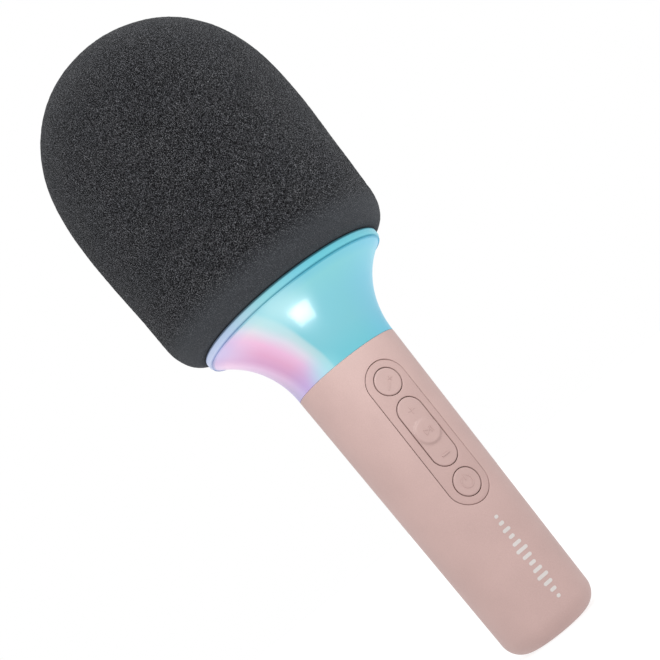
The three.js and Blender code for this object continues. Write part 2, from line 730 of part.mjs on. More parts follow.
function speakerPlate() {
  const holes = SPEAKER_SCREW_ANGLES.map((angle) =>
    rodZ(1.4, 140, 145, ...onCircle(SPEAKER_SCREW_R, angle)),
  );
  const leadHoles = [SPEAKER_SCREW_R, -SPEAKER_SCREW_R].map((y) => rodZ(1.5, 140, 145, 0, y));
  return cut(washer(PLATE_HOLE_R, COLLAR_R - 0.2, ...PLATE_Z), ...holes, ...leadHoles);
}

// Radius of an ellipse-shaped dome at a height above its shoulder.
function domeRadius(radius, height, rise) {
  return radius * Math.sqrt(Math.max(0, 1 - (rise / height) ** 2));
}

function domeArc(radius, shoulder, height, steps) {
  const points = [];
  for (let i = 0; i <= steps; i++) {
    const angle = (Math.PI / 2) * (i / steps);
    points.push([radius * Math.cos(angle), shoulder + height * Math.sin(angle)]);
  }
  return points;
}

// A cage with a skirt, rows of windows and an inner sleeve for the capsule boot.
function grilleBasket() {
  const innerR = BASKET_R - BASKET_WALL;
  const innerDome = BASKET_DOME - BASKET_WALL;
  const inside = domeArc(innerR, BASKET_SHOULDER_Z, innerDome, 5).reverse();
  const shell = turned([
    ...inside,
    [innerR, HEAD_FOOT_Z],
    [BASKET_R, HEAD_FOOT_Z],
    ...domeArc(BASKET_R, BASKET_SHOULDER_Z, BASKET_DOME, 5),
  ]);
  const windows = [];
  for (let i = 0; i < RIB_COUNT / 2; i++) {
    const turn = ((i + 0.5) * 2 * Math.PI) / RIB_COUNT;
    for (const row of WINDOW_ROWS) {
      windows.push(box([-2 * BASKET_R, 2 * BASKET_R], WINDOW_WIDTH, row, turn));
    }
  }
  const sleeveTop = BASKET_SHOULDER_Z + domeRadius(innerDome, innerR, 7.5);
  const sleeve = washer(...SLEEVE_R, SLEEVE_FOOT_Z, sleeveTop, MEDIUM);
  return joined(cut(shell, ...windows), sleeve);
}

// Foam outline above its widest height: a superellipse dome.
function foamDome(steps) {
  const height = TOTAL_HEIGHT - FOAM_WIDEST_Z;
  const points = [];
  for (let i = 1; i <= steps; i++) {
    const angle = (Math.PI / 2) * (i / steps);
    const rise = Math.sin(angle);
    const r = FOAM_R * Math.sqrt(Math.max(0, 1 - rise ** DOME_POWER));
    points.push([r, FOAM_WIDEST_Z + height * rise]);
  }
  return points;
}

function foamWindscreen() {
  const bore = domeArc(FOAM_BORE_R, BASKET_SHOULDER_Z, FOAM_BORE_DOME, 6).reverse();
  const foot = [];
  for (let i = 0; i <= 6; i++) {
    const angle = (Math.PI / 2) * (i / 6);
    foot.push([
      FOAM_UNDER_R + (FOAM_LOW_R - FOAM_UNDER_R) * Math.sin(angle),
      FOAM_LOW_Z - (FOAM_LOW_Z - HEAD_FOOT_Z) * Math.cos(angle),
    ]);
  }
  return turned([
    ...bore,
    [FOAM_BORE_R, HEAD_FOOT_Z],
    ...foot,
    [FOAM_R, FOAM_WIDEST_Z],
    ...foamDome(8),
  ]);
}

function capsuleBoot() {
  const [low, high] = BOOT_Z;
  const innerR = CAPSULE_R + 0.35;
  return ring([
    [1.4, low],
    [BOOT_R, low],
    [BOOT_R, high],
    [innerR, high],
    [innerR, BOOT_FLOOR_Z],
    [1.4, BOOT_FLOOR_Z],
  ], MEDIUM);
}

// The capsule's can, with its felt face a little below the rolled rim.
function micCapsule() {
  const [low, high] = CAPSULE_Z;
  return turned([
    [0, low],
    [CAPSULE_R, low],
    [CAPSULE_R, high],
    [CAPSULE_R - 0.75, high],
    [CAPSULE_R - 0.75, high - 0.6],
    [0, high - 0.6],
  ], MEDIUM);
}

const head = new THREE.Group();
piece(head, "speaker_plate", speakerPlate(), GREY);
piece(head, "speaker_gasket", washer(...GASKET_R, ...GASKET_Z, MEDIUM), BLACK);
piece(head, "speaker_frame", speakerFrame(), STEEL);
piece(head, "speaker_cone", speakerCone(), BLACK);
piece(head, "speaker_magnet", speakerMagnet(), STEEL);
SPEAKER_SCREW_ANGLES.forEach((angle, i) => {
  const screw = rodZ(2.1, 146.5, 148).add(rodZ(1.05, 141.8, 147));
  const place = [...onCircle(SPEAKER_SCREW_R, angle), 0];
  piece(head, `speaker_screw_${i + 1}`, screw, STEEL, place);
});
piece(head, "speaker_lead", wire(SPEAKER_LEAD), WIRE_RED);
piece(head, "grille_basket", grilleBasket(), BLACK);
piece(head, "capsule_boot", capsuleBoot(), BLACK);
piece(head, "mic_capsule", micCapsule(), STEEL);
piece(head, "capsule_lead", wire(CAPSULE_LEAD), BLACK);
piece(head, "foam_windscreen", foamWindscreen(), FOAM);

const microphone = new THREE.Group();
microphone.add(handle, neck, head);
export default microphone;
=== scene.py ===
"""Looks of the toy karaoke microphone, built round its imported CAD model.

Shapes are drawn in millimetres in the model's own frame: +Z up the microphone's
axis, buttons facing -Y. piece() turns them into metres.
"""

import json
import math

import bmesh
import bpy
from mathutils import Matrix, Vector, noise
from mathutils.geometry import delaunay_2d_cdt


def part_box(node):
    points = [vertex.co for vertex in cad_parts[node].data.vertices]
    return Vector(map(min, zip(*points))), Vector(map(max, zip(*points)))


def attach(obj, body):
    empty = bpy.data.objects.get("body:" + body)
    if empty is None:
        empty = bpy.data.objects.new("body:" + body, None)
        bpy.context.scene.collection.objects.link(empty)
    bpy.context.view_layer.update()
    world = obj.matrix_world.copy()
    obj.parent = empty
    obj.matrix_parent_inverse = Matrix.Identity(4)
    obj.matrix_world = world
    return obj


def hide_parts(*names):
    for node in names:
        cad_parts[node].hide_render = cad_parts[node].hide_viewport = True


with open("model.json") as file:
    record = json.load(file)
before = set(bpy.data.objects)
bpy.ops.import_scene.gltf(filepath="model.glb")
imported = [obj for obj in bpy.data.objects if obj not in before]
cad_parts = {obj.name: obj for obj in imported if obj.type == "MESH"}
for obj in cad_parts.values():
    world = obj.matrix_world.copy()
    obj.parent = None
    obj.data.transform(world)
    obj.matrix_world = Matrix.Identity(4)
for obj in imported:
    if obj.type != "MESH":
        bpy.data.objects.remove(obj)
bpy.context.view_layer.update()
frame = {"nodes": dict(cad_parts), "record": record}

MM = 0.001


def span(node):
    """Lowest and highest corner of a CAD node, in millimetres."""
    low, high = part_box(node)
    return low / MM, high / MM


# ------------------------------------------------------------------ dimensions

_, HANDLE_HIGH = span("handle_tube")
FOAM_LOW, FOAM_HIGH = span("foam_windscreen")
_, RIM_HIGH = span("rim_ring")
CONE_LOW, _ = span("light_cone")
ROCKER_LOW, ROCKER_HIGH = span("volume_rocker")
EFFECT_LOW, EFFECT_HIGH = span("effect_button")
_, BASKET_HIGH = span("grille_basket")
SOCKET_LOW, SOCKET_HIGH = span("usb_socket")

# Handle
SEAM_Z = HANDLE_HIGH.z  # where the handle ends and the neck begins
TOP_R = HANDLE_HIGH.x
BOTTOM_R = 16.9
WALL = 2.2
FLOOR = 2.4
BASE_FILLET = 7.0
SEAM_ROUND = 0.25
SLOT_GAP = 0.3  # round the charging socket
SLOT_ROUND = 0.25
BAR_R = 0.58  # of the printed bars

# Panel and buttons
PANEL_Z = (ROCKER_LOW.z + ROCKER_HIGH.z) / 2
BUTTON_PITCH = (EFFECT_LOW.z + EFFECT_HIGH.z) / 2 - PANEL_Z
PANEL_HALF_LENGTH = 27.15
PANEL_HALF_WIDTH = 7.4
PANEL_INSET = 0.35  # how much flatter the panel is than the handle, in its middle
PANEL_GAP = 0.055  # each side of the panel's outline
PANEL_THICKNESS = 2.0
PANEL_ROUND = 0.3
HOLE_RELIEF = 0.5  # how much wider the button holes are at the back
OPENING_ROUND = 0.14
BUTTON_R = 4.65
BUTTON_GAP = 0.18
BUTTON_DISH = 0.12
BUTTON_THICKNESS = 3.6
ROCKER_THICKNESS = 4.4
ROCKER_HALF_LENGTH = 12.7
DISC_R = 4.2  # of the raised disc in the middle of the rocker
DISC_RISE = 0.75
DISC_SHOULDER = 0.9
CAP_ROUND = 0.5

# Neck and rim
FLARE_R = 30.8
FLARE_ANGLE = 60
FLARE_CENTRE_R = TOP_R + FLARE_R
RIM_R = RIM_HIGH.x
FOOT_Z = FOAM_LOW.z  # where the foam rests on the rim
GROOVE_Z = FOOT_Z - 2.95
GROOVE = 0.36

# Foam and basket
FOAM_R = FOAM_HIGH.x
FOAM_TOP_Z = FOAM_HIGH.z
FOAM_WIDEST_Z = 186.0
FOAM_LOW_R = 43.05  # where its rounded foot ends
FOAM_LOW_Z = 149.0
FOAM_UNDER_R = 35.5  # where it rests on the rim
DOME_POWER = 2.8
FOAM_BORE_R = 33.0
FOAM_BORE_DOME = 42.0
SHOULDER_Z = 190.0  # where the domes of the bore and the basket begin
SKIRT_TOP_Z = 151.0
SKIRT_INNER_R = 31.2
COLLAR_R = (6.8, 8.2)  # round the capsule, inner and outer
COLLAR_Z = (216.0, 229.0)
BASKET_DEPTH = 1.4  # of its ribs, rings and crown
RIB_COUNT = 24

# Mesh steps
ROUND_STEPS = 4
HANDLE_COLUMNS = 180
FRONT_COLUMNS = 16  # each side of the front, that the panel's opening may cross
OPENING_ROWS = (44.0, 103.4)
NECK_COLUMNS = 256
FOAM_COLUMNS = 420
WELD = 2e-7  # metres between points that are one


# ------------------------------------------------------------ profiles, outlines

def arc(centre_r, centre_z, radius, start, end, steps):
    """Profile points on an arc between two angles in degrees, both ends included."""
    points = []
    for i in range(steps + 1):
        a = math.radians(start + (end - start) * i / steps)
        points.append((centre_r + radius * math.cos(a), centre_z + radius * math.sin(a)))
    return points


def full_turn(count):
    """Evenly spaced angles in radians round a circle."""
    return [2 * math.pi * i / count for i in range(count)]


def rounded(radius):
    """(offset, depth) pairs round an edge, from the face to the side, in even angles."""
    turns = [math.radians(90 * k / ROUND_STEPS) for k in range(ROUND_STEPS + 1)]
    return [(radius * (1 - math.sin(a)), radius * (1 - math.cos(a))) for a in turns]


def around(angle, radius, height):
    """A point in metres, at an angle in degrees from -Y towards +X."""
    a = math.radians(angle)
    return Vector((radius * math.sin(a), -radius * math.cos(a), height)) * MM


def between(start, end, steps):
    """Evenly spaced profile points after start, up to and with end."""
    return [tuple(s + (e - s) * i / steps for s, e in zip(start, end))
            for i in range(1, steps + 1)]


def softened(corners, steps=4):
    """A closed profile from (r, z, radius) corners, each rounded by an arc of its radius."""
    points = []
    for i, (r, z, radius) in enumerate(corners):
        if not radius:
            points.append((r, z))
            continue
        here = Vector((r, z))
        before = (Vector(corners[i - 1][:2]) - here).normalized()
        after = (Vector(corners[(i + 1) % len(corners)][:2]) - here).normalized()
        half = before.angle(after) / 2
        centre = here + (before + after).normalized() * radius / math.sin(half)
        first = here + before * radius / math.tan(half) - centre
        last = here + after * radius / math.tan(half) - centre
        for k in range(steps + 1):
            points.append(tuple(centre + first.slerp(last, k / steps) * radius))
    return points


def outline(path, radius, steps=20):
    """The closed outline at a distance from a path of (x, z) points."""
    if len(path) == 1:
        x, z = path[0]
        return [(x + radius * math.cos(a), z + radius * math.sin(a))
                for a in full_turn(2 * steps)]
    normals = []
    for i in range(len(path)):
        ahead = Vector(path[min(i + 1, len(path) - 1)])
        along = (ahead - Vector(path[max(i - 1, 0)])).normalized()
        normals.append(Vector((along.y, -along.x)))
    right = [tuple(Vector(p) + n * radius) for p, n in zip(path, normals)]
    left = [tuple(Vector(p) - n * radius) for p, n in zip(path, normals)]

    def cap(point, normal):
        start = math.atan2(normal.y, normal.x)
        turns = [start + math.pi * i / steps for i in range(1, steps)]
        return [(point[0] + radius * math.cos(a), point[1] + radius * math.sin(a))
                for a in turns]

    return right + cap(path[-1], normals[-1]) + left[::-1] + cap(path[0], -normals[0])


def distance(path, x, z):
    """Distance of a point from a path."""
    here = Vector((x, z))
    if len(path) == 1:
        return (here - Vector(path[0])).length
    best = math.inf
    for a, b in zip(path, path[1:]):
        a, b = Vector(a), Vector(b)
        t = max(0, min(1, (here - a).dot(b - a) / (b - a).length_squared))
        best = min(best, (here - a - (b - a) * t).length)
    return best


def upright(half_length, radius, z, steps=1):
    """The path inside an upright round-ended outline centred at height z."""
    reach = half_length - radius
    return [(0, z - reach + 2 * reach * i / steps) for i in range(steps + 1)]


def flat_patch(loops, inner, keep):
    """Triangles over a flat region bounded by loops, with inner points; keep(x, z) picks them."""
    points = [Vector(p) for ring in loops for p in ring] + [Vector(p) for p in inner]
    edges = []
    start = 0
    for ring in loops:
        n = len(ring)
        edges += [(start + i, start + (i + 1) % n) for i in range(n)]
        start += n
    tolerance = 1e-7
    made, _, triangles = delaunay_2d_cdt(points, edges, [], 0, tolerance)[:3]
    kept = []
    for t in triangles:
        middle = sum((made[i] for i in t), Vector((0, 0))) / 3
        if keep(middle.x, middle.y):
            kept.append(tuple(t))
    return [tuple(p) for p in made], kept


# -------------------------------------------------------------------- mesh code

class Build:
    """Vertices and faces of one piece, in millimetres."""

    def __init__(self):
        self.points = []
        self.faces = []

    def add(self, points, faces):
        start = len(self.points)
        self.points += points
        self.faces += [tuple(start + i for i in f) for f in faces]

    def strip(self, ring_a, ring_b):
        """Quads between two rings with equal numbers of points."""
        n = len(ring_a)
        quads = [(i, (i + 1) % n, n + (i + 1) % n, n + i) for i in range(n)]
        self.add(list(ring_a) + list(ring_b), quads)

    def turned(self, profile, segments, closed=True):
        """A profile turned about Z. A point on the axis becomes one vertex."""
        rings = [ring_at(r, z, segments) for r, z in profile]
        if closed:
            rings.append(rings[0])
        for a, b in zip(rings, rings[1:]):
            self.strip(a, b)


def ring_at(r, z, segments):
    """A ring of points about Z, starting at -Y."""
    return [(r * math.sin(a), -r * math.cos(a), z) for a in full_turn(segments)]


def piece(name, build, body, material, replaces=(), sharp=35):
    """A shown object from a build: merged, closed, facing out, riding on its body.

    Edges bent by more than sharp degrees stay crisp.
    """
    mesh = bpy.data.meshes.new(name)
    mesh.from_pydata([Vector(p) * MM for p in build.points], [], build.faces)
    work = bmesh.new()
    work.from_mesh(mesh)
    bmesh.ops.remove_doubles(work, verts=work.verts, dist=WELD)
    bmesh.ops.dissolve_degenerate(work, edges=work.edges, dist=WELD / 2)
    bmesh.ops.recalc_face_normals(work, faces=work.faces)
    work.to_mesh(mesh)
    work.free()
    mesh.shade_smooth()
    mesh.set_sharp_from_angle(angle=math.radians(sharp))
    mesh.materials.append(material)
    obj = bpy.data.objects.new(name, mesh)
    bpy.context.scene.collection.objects.link(obj)
    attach(obj, body)
    if replaces:
        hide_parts(*replaces)
    return obj


def handle_radius(z):
    """Radius of the handle's tapered outside at a height."""
    return BOTTOM_R + (TOP_R - BOTTOM_R) * z / SEAM_Z


def flare_radius(z):
    """Radius of the neck's concave outside at a height."""
    rise = min(max(z - SEAM_Z, 0), FLARE_R * math.sin(math.radians(FLARE_ANGLE)))
    return FLARE_CENTRE_R - math.sqrt(FLARE_R ** 2 - rise ** 2)


def on_handle(x, z, depth=0.0):
    """The surface point that (x, z) shows from the front, or the one under it by a depth."""
    r = handle_radius(z)
    a = math.asin(max(-1, min(1, x / r)))
    return ((r - depth) * math.sin(a), -(r - depth) * math.cos(a), z)


def on_panel(x, z, depth=0.0):
    """The same for the panel, whose face is a little flatter than the handle."""
    return on_handle(x, z, depth + PANEL_INSET * (1 - (x / PANEL_HALF_WIDTH) ** 2))


def no_rise(x, z):
    """The rise of a plate whose face follows its surface."""
    return 0.0


def plate(build, outer, holes, surface, thickness, edge, spacing, rise=no_rise, rings=(),
          relief=0.0):
    """A closed plate on a surface, with face points about spacing apart.

    outer and holes are (path, radius), and edge rounds their rims. rise(x, z) lifts the
    face. rings are (path, radius, gap): extra face points on an outline, with the others
    kept clear of it. relief widens the holes towards the back.
    """
    borders = [(outer, -1)] + [(hole, 1) for hole in holes]

    def ring(border, offset, depth):
        (path, radius), side = border
        return [surface(x, z, depth - rise(x, z) * (depth < edge))
                for x, z in outline(path, radius + side * offset)]

    for border in borders:
        loops = [ring(border, offset, depth) for offset, depth in rounded(edge)]
        loops.append(ring(border, relief if border[1] > 0 else 0, thickness))
        for a, b in zip(loops, loops[1:]):
            build.strip(a, b)

    def inside(margin, hole_margin):
        def test(x, z):
            return (distance(outer[0], x, z) < outer[1] - margin
                    and all(distance(p, x, z) > r + hole_margin for p, r in holes))
        return test

    xs = [x for x, _ in outline(*outer)]
    zs = [z for _, z in outline(*outer)]
    room = edge + 0.45 * spacing
    roomy = inside(room, room)
    points = []
    for k in range(int((max(zs) - min(zs)) / spacing) + 2):
        for i in range(int((max(xs) - min(xs)) / spacing) + 2):
            point = (min(xs) + (i + 0.5 * (k % 2)) * spacing, min(zs) + k * spacing)
            clear = all(abs(distance(path, *point) - radius) > 0.6 * gap
                        for path, radius, gap in rings)
            if roomy(*point) and clear:
                points.append(point)
    for path, radius, _ in rings:
        points += [p for p in outline(path, radius, 36) if inside(edge + 0.05, edge)(*p)]
    for margin, hole_margin, depth, extra in ((edge, edge, 0, points),
                                              (0, relief, thickness, [])):
        loops = [outline(path, radius + (hole_margin if side > 0 else -margin))
                 for (path, radius), side in borders]
        drawn, triangles = flat_patch(loops, extra, inside(margin, hole_margin))
        build.add([surface(x, z, depth - (rise(x, z) if depth == 0 else 0))
                   for x, z in drawn], triangles)


# -------------------------------------------------------------------- materials

class Look:
    """A material with the few node patterns that the pieces share."""

    def __init__(self, name, roughness, metallic=0.0, **sockets):
        self.material = bpy.data.materials.new(name)
        self.material.use_nodes = True
        self.tree = self.material.node_tree
        self.shader = self.tree.nodes["Principled BSDF"]
        self.shader.inputs["Roughness"].default_value = roughness
        self.shader.inputs["Metallic"].default_value = metallic
        for socket, value in sockets.items():
            self.shader.inputs[socket.replace("_", " ")].default_value = value
        self.place = self.node("ShaderNodeTexCoord").outputs["Object"]

    def node(self, kind, **settings):
        made = self.tree.nodes.new(kind)
        for key, value in settings.items():
            setattr(made, key, value)
        return made

    def link(self, a, b):
        self.tree.links.new(a, b)

    def noise(self, size, detail=2.0, stretch=None):
        """A noise pattern whose grain is about size millimetres."""
        made = self.node("ShaderNodeTexNoise")
        made.inputs["Scale"].default_value = 1 / (size * MM)
        made.inputs["Detail"].default_value = detail
        place = self.place
        if stretch:
            shift = self.node("ShaderNodeMapping")
            shift.inputs["Scale"].default_value = stretch
            self.link(place, shift.inputs["Vector"])
            place = shift.outputs["Vector"]
        self.link(place, made.inputs["Vector"])
        return made.outputs["Fac"]

    def cells(self, size):
        """Distance to the nearest cell centre, with cells about size millimetres."""
        made = self.node("ShaderNodeTexVoronoi")
        made.inputs["Scale"].default_value = 1 / (size * MM)
        self.link(self.place, made.inputs["Vector"])
        return made.outputs["Distance"]

    def ramp(self, source, stops):
        """Colours spread over a value from 0 to 1, from (value, colour) stops."""
        made = self.node("ShaderNodeValToRGB")
        band = made.color_ramp.elements
        while len(band) < len(stops):
            band.new(0.5)
        for mark, (place, colour) in zip(band, stops):
            mark.position = place
            mark.color = (*colour, 1)
        self.link(source, made.inputs["Fac"])
        return made.outputs["Color"]

    def mix(self, amount, first, second, blend="MIX"):
        made = self.node("ShaderNodeMix", data_type="RGBA", blend_type=blend)
        for value, socket in ((amount, "Factor"), (first, "A"), (second, "B")):
            target = [s for s in made.inputs if s.name == socket and s.enabled][0]
            if hasattr(value, "is_linked"):
                self.link(value, target)
            else:
                target.default_value = value
        return [s for s in made.outputs if s.enabled][0]

    def maths(self, operation, first, second=0.0):
        made = self.node("ShaderNodeMath", operation=operation)
        for value, target in ((first, made.inputs[0]), (second, made.inputs[1])):
            if hasattr(value, "is_linked"):
                self.link(value, target)
            else:
                target.default_value = value
        return made.outputs["Value"]

    def colour(self, source):
        self.link(source, self.shader.inputs["Base Color"])

    def rough(self, source, low, high):
        """Roughness that follows a pattern between two values."""
        made = self.node("ShaderNodeMapRange")
        made.inputs["To Min"].default_value = low
        made.inputs["To Max"].default_value = high
        self.link(source, made.inputs["Value"])
        self.link(made.outputs["Result"], self.shader.inputs["Roughness"])

    def bump(self, height, depth, strength=1.0):
        """Relief of about depth millimetres."""
        made = self.node("ShaderNodeBump")
        made.inputs["Distance"].default_value = depth * MM
        made.inputs["Strength"].default_value = strength
        self.link(height, made.inputs["Height"])
        self.link(made.outputs["Normal"], self.shader.inputs["Normal"])


def shade(colour, factor):
    return tuple(min(1, c * factor) for c in colour)


def paint(red, green, blue):
    """A colour given on the usual 0 to 255 scale."""
    return tuple(((c / 255 + 0.055) / 1.055) ** 2.4 for c in (red, green, blue))


def moulded(name, colour, roughness, grain=0.35, relief=0.02, **sockets):
    """Injection-moulded plastic: fine spark texture, faint mottling, uneven sheen."""
    look = Look(name, roughness, **sockets)
    mottle = look.noise(14, 2)
    fine = look.noise(grain, 2)
    broad = look.ramp(mottle, [(0.3, shade(colour, 0.97)), (0.7, shade(colour, 1.03))])
    specks = look.ramp(fine, [(0.3, (0.94, 0.94, 0.94)), (0.7, (1, 1, 1))])
    look.colour(look.mix(1.0, broad, specks, "MULTIPLY"))
    look.rough(look.noise(5, 3), roughness - 0.06, roughness + 0.06)
    look.bump(fine, relief)
    return look


def metal(name, colour, roughness, stretch=(1, 1, 1), metallic=1.0):
    """Metal with fine drawn or brushed lines and faint stains."""
    look = Look(name, roughness, metallic)
    lines = look.noise(0.5, 3, stretch)
    stain = look.noise(6, 3)
    broad = look.ramp(stain, [(0.3, shade(colour, 0.86)), (0.75, colour)])
    streak = look.ramp(lines, [(0.35, (0.85, 0.85, 0.85)), (0.65, (1, 1, 1))])
    look.colour(look.mix(1.0, broad, streak, "MULTIPLY"))
    look.rough(stain, roughness - 0.08, roughness + 0.1)
    look.bump(lines, 0.01)
    return look


PINK = paint(183, 154, 149)
PANEL_PINK = paint(178, 149, 144)
INK = paint(204, 198, 195)


def foam_look():
    """Open-cell foam: dark pores between lighter strands; its foot is compressed smoother and
    carries a painted lighter band, a painted lift of light from the floor and the glowing neck
    below.
    """
    look = Look("open_cell_foam", 1.0, Sheen_Weight=0.04, Sheen_Roughness=0.5,
                Specular_IOR_Level=0.1)
    look.shader.inputs["Sheen Tint"].default_value = (0.75, 0.8, 0.85, 1)
    pores = look.noise(0.19, 2)
    cells = look.cells(0.42)
    drift = look.noise(9, 2)
    strands = look.ramp(pores, [(0.42, (0.001, 0.001, 0.0015)), (0.56, (0.005, 0.0051, 0.0062)),
                                (0.66, (0.25, 0.253, 0.27))])
    walls = look.ramp(cells, [(0.05, (0.4, 0.4, 0.4)), (0.45, (1.0, 1.0, 1.0))])
    tone = look.ramp(drift, [(0.35, (0.88, 0.89, 0.91)), (0.65, (1.0, 1.0, 1.0))])
    grain = look.mix(1.0, look.mix(1.0, strands, walls, "MULTIPLY"), tone, "MULTIPLY")
    parts = look.node("ShaderNodeSeparateXYZ")
    look.link(look.place, parts.inputs["Vector"])
    # Painted light: a lighter band up the foot, for the light from the floor and the glowing
    # neck, over its smoother skin
    pressed_and_lit_foot = look.node("ShaderNodeMapRange", interpolation_type="SMOOTHSTEP")
    pressed_and_lit_foot.inputs["From Min"].default_value = (FOOT_Z + 13) * MM
    pressed_and_lit_foot.inputs["From Max"].default_value = (FOOT_Z + 3) * MM
    pressed_and_lit_foot.inputs["To Max"].default_value = 0.6
    look.link(parts.outputs["Z"], pressed_and_lit_foot.inputs["Value"])
    # The foot's colour: its smoother skin, painted lighter by that light
    smooth = (0.062, 0.067, 0.075, 1)
    look.colour(look.mix(pressed_and_lit_foot.outputs["Result"], grain, smooth))
    look.bump(look.maths("ADD", pores, cells), 0.2, 0.8)
    return look.material


# The lit plastic's colour round the axis: degrees from the front towards +X, colour. The pale
# stops from -47 to -37 degrees, ending sharply at -34, are a painted reflection of a broad lamp
# in the gloss, laid over the colour.
NECK_TINTS_AND_PAINTED_REFLECTION = [
    (-180, paint(128, 186, 212)), (-140, paint(128, 186, 212)), (-118, paint(178, 160, 204)),
    (-100, paint(197, 176, 205)), (-88, paint(210, 182, 212)), (-76, paint(200, 156, 192)),
    (-66, paint(210, 162, 194)), (-56, paint(218, 178, 208)), (-47, paint(206, 204, 218)),
    (-41, paint(178, 206, 212)), (-37, paint(168, 204, 210)), (-34, paint(120, 190, 202)),
    (10, paint(121, 191, 203)), (35, paint(122, 191, 210)), (60, paint(116, 188, 212)),
    (180, paint(128, 186, 212))]
LIP_TINTS = [
    (-180, paint(140, 190, 212)), (-110, paint(182, 190, 218)), (-80, paint(184, 194, 222)),
    (-62, paint(170, 188, 216)), (-48, paint(158, 194, 208)), (-32, paint(134, 196, 204)),
    (-15, paint(114, 188, 204)), (0, paint(104, 188, 202)), (30, paint(112, 190, 204)),
    (70, paint(124, 192, 208)), (180, paint(140, 190, 212))]

# Painted shade over the lit colour at each height above the seam: darker towards the seam, a thin
# painted shadow in the groove under the lip, and painted shadow below the foam
PAINTED_SHADE_BY_HEIGHT = [
    (0, (0.61, 0.71, 0.72)), (9, (0.77, 0.745, 0.745)), (18, (0.84, 0.80, 0.80)),
    (24, (0.92, 0.86, 0.82)), (25.8, (0.80, 0.82, 0.84)), (26.2, (0.80, 0.82, 0.84)),
    (26.42, (0.38, 0.60, 0.67)), (26.9, (0.38, 0.60, 0.67)), (27.1, (0.80, 0.80, 0.79)),
    (28.5, (0.82, 0.85, 0.86)), (28.9, (0.80, 0.84, 0.85)), (29.2, (0.24, 0.27, 0.29)),
    (30, (0.20, 0.22, 0.24))]

# Soft patches over the neck's tint: angle, height, reach, share, colour
NECK_PATCHES = [
    (-34, 131, 15, 0.8, paint(158, 200, 206)),
    (-80, 136, 17, 0.85, paint(178, 174, 206)),
    (-64, 105, 13, 0.6, paint(164, 152, 198)),
    (-43, 107, 9, 0.6, paint(136, 190, 196))]


def lit_look(name, tints_and_reflections, lean=(1, 1), patches=()):
    """Glossy milky plastic, lit from inside in a colour that runs round the axis, with painted
    shade by height over it and, on the neck, a painted reflection band in its colours.

    lean widens the tints' angles at the seam and at the foam.
    """
    look = Look(name, 0.3, Coat_Weight=0.06, Coat_Roughness=0.13, Specular_IOR_Level=0.05)
    parts = look.node("ShaderNodeSeparateXYZ")
    look.link(look.place, parts.inputs["Vector"])

    def by_height(low, high):
        made = look.node("ShaderNodeMapRange")
        made.inputs["From Min"].default_value = SEAM_Z * MM
        made.inputs["From Max"].default_value = FOOT_Z * MM
        made.inputs["To Min"].default_value = low
        made.inputs["To Max"].default_value = high
        look.link(parts.outputs["Z"], made.inputs["Value"])
        return made.outputs["Result"]

    front = look.maths("MULTIPLY", parts.outputs["Y"], -1.0)
    turn = look.maths("ARCTAN2", parts.outputs["X"], front)
    leant = look.maths("MULTIPLY", turn, by_height(*lean))
    share = look.maths("ADD", look.maths("DIVIDE", leant, 2 * math.pi), 0.5)
    swirl = look.maths("MULTIPLY", look.maths("SUBTRACT", look.noise(18, 1), 0.5), 0.02)
    around_axis = look.maths("ADD", share, swirl)
    # The colour round the axis, which on the neck holds a painted reflection band
    tint_and_reflection = look.ramp(around_axis, [(0.5 + degrees / 360, colour) for degrees, colour in tints_and_reflections])
    # Painted shade by height: darker towards the seam, in the groove and below the foam
    painted_shade = look.ramp(by_height(0, 1), [(height / (FOOT_Z - SEAM_Z), colour)
                                        for height, colour in PAINTED_SHADE_BY_HEIGHT])
    final = look.mix(1.0, tint_and_reflection, painted_shade, "MULTIPLY")
    for angle, patch_z, reach, share, colour in patches:
        away = look.node("ShaderNodeVectorMath", operation="DISTANCE")
        look.link(look.place, away.inputs[0])
        away.inputs[1].default_value = around(angle, flare_radius(patch_z), patch_z)
        fade = look.node("ShaderNodeMapRange", interpolation_type="SMOOTHSTEP")
        fade.inputs["From Max"].default_value = reach * MM
        fade.inputs["To Min"].default_value = share
        fade.inputs["To Max"].default_value = 0.0
        look.link(away.outputs["Value"], fade.inputs["Value"])
        final = look.mix(fade.outputs["Result"], final, (*colour, 1))
    look.colour(final)
    look.link(final, look.shader.inputs["Emission Color"])
    look.shader.inputs["Emission Strength"].default_value = 0.4
    look.rough(look.noise(3, 2), 0.26, 0.34)
    look.bump(look.noise(0.8, 2), 0.003)
    return look.material


def board_look(name, base, trace):
    """Solder mask over faint copper tracks."""
    look = Look(name, 0.35, Coat_Weight=0.4)
    bricks = look.node("ShaderNodeTexBrick")
    bricks.inputs["Scale"].default_value = 220
    bricks.inputs["Mortar Size"].default_value = 0.03
    bricks.inputs["Color1"].default_value = (*base, 1)
    bricks.inputs["Color2"].default_value = (*shade(base, 0.9), 1)
    bricks.inputs["Mortar"].default_value = (*trace, 1)
    turned = look.node("ShaderNodeMapping")
    turned.inputs["Rotation"].default_value = (math.radians(90), 0, 0)
    look.link(look.place, turned.inputs["Vector"])
    look.link(turned.outputs["Vector"], bricks.inputs["Vector"])
    look.colour(bricks.outputs["Color"])
    look.rough(look.noise(4, 2), 0.3, 0.45)
    look.bump(bricks.outputs["Fac"], 0.03)
    return look.material


def cone_paper_look():
    """Pressed paper pulp with fine rings."""
    look = Look("cone_paper", 0.85)
    fibre = look.noise(0.6, 4)
    look.colour(look.ramp(fibre, [(0.3, (0.02, 0.02, 0.022)), (0.7, (0.05, 0.05, 0.053))]))
    look.rough(fibre, 0.75, 0.95)
    look.bump(fibre, 0.08)
    return look.material


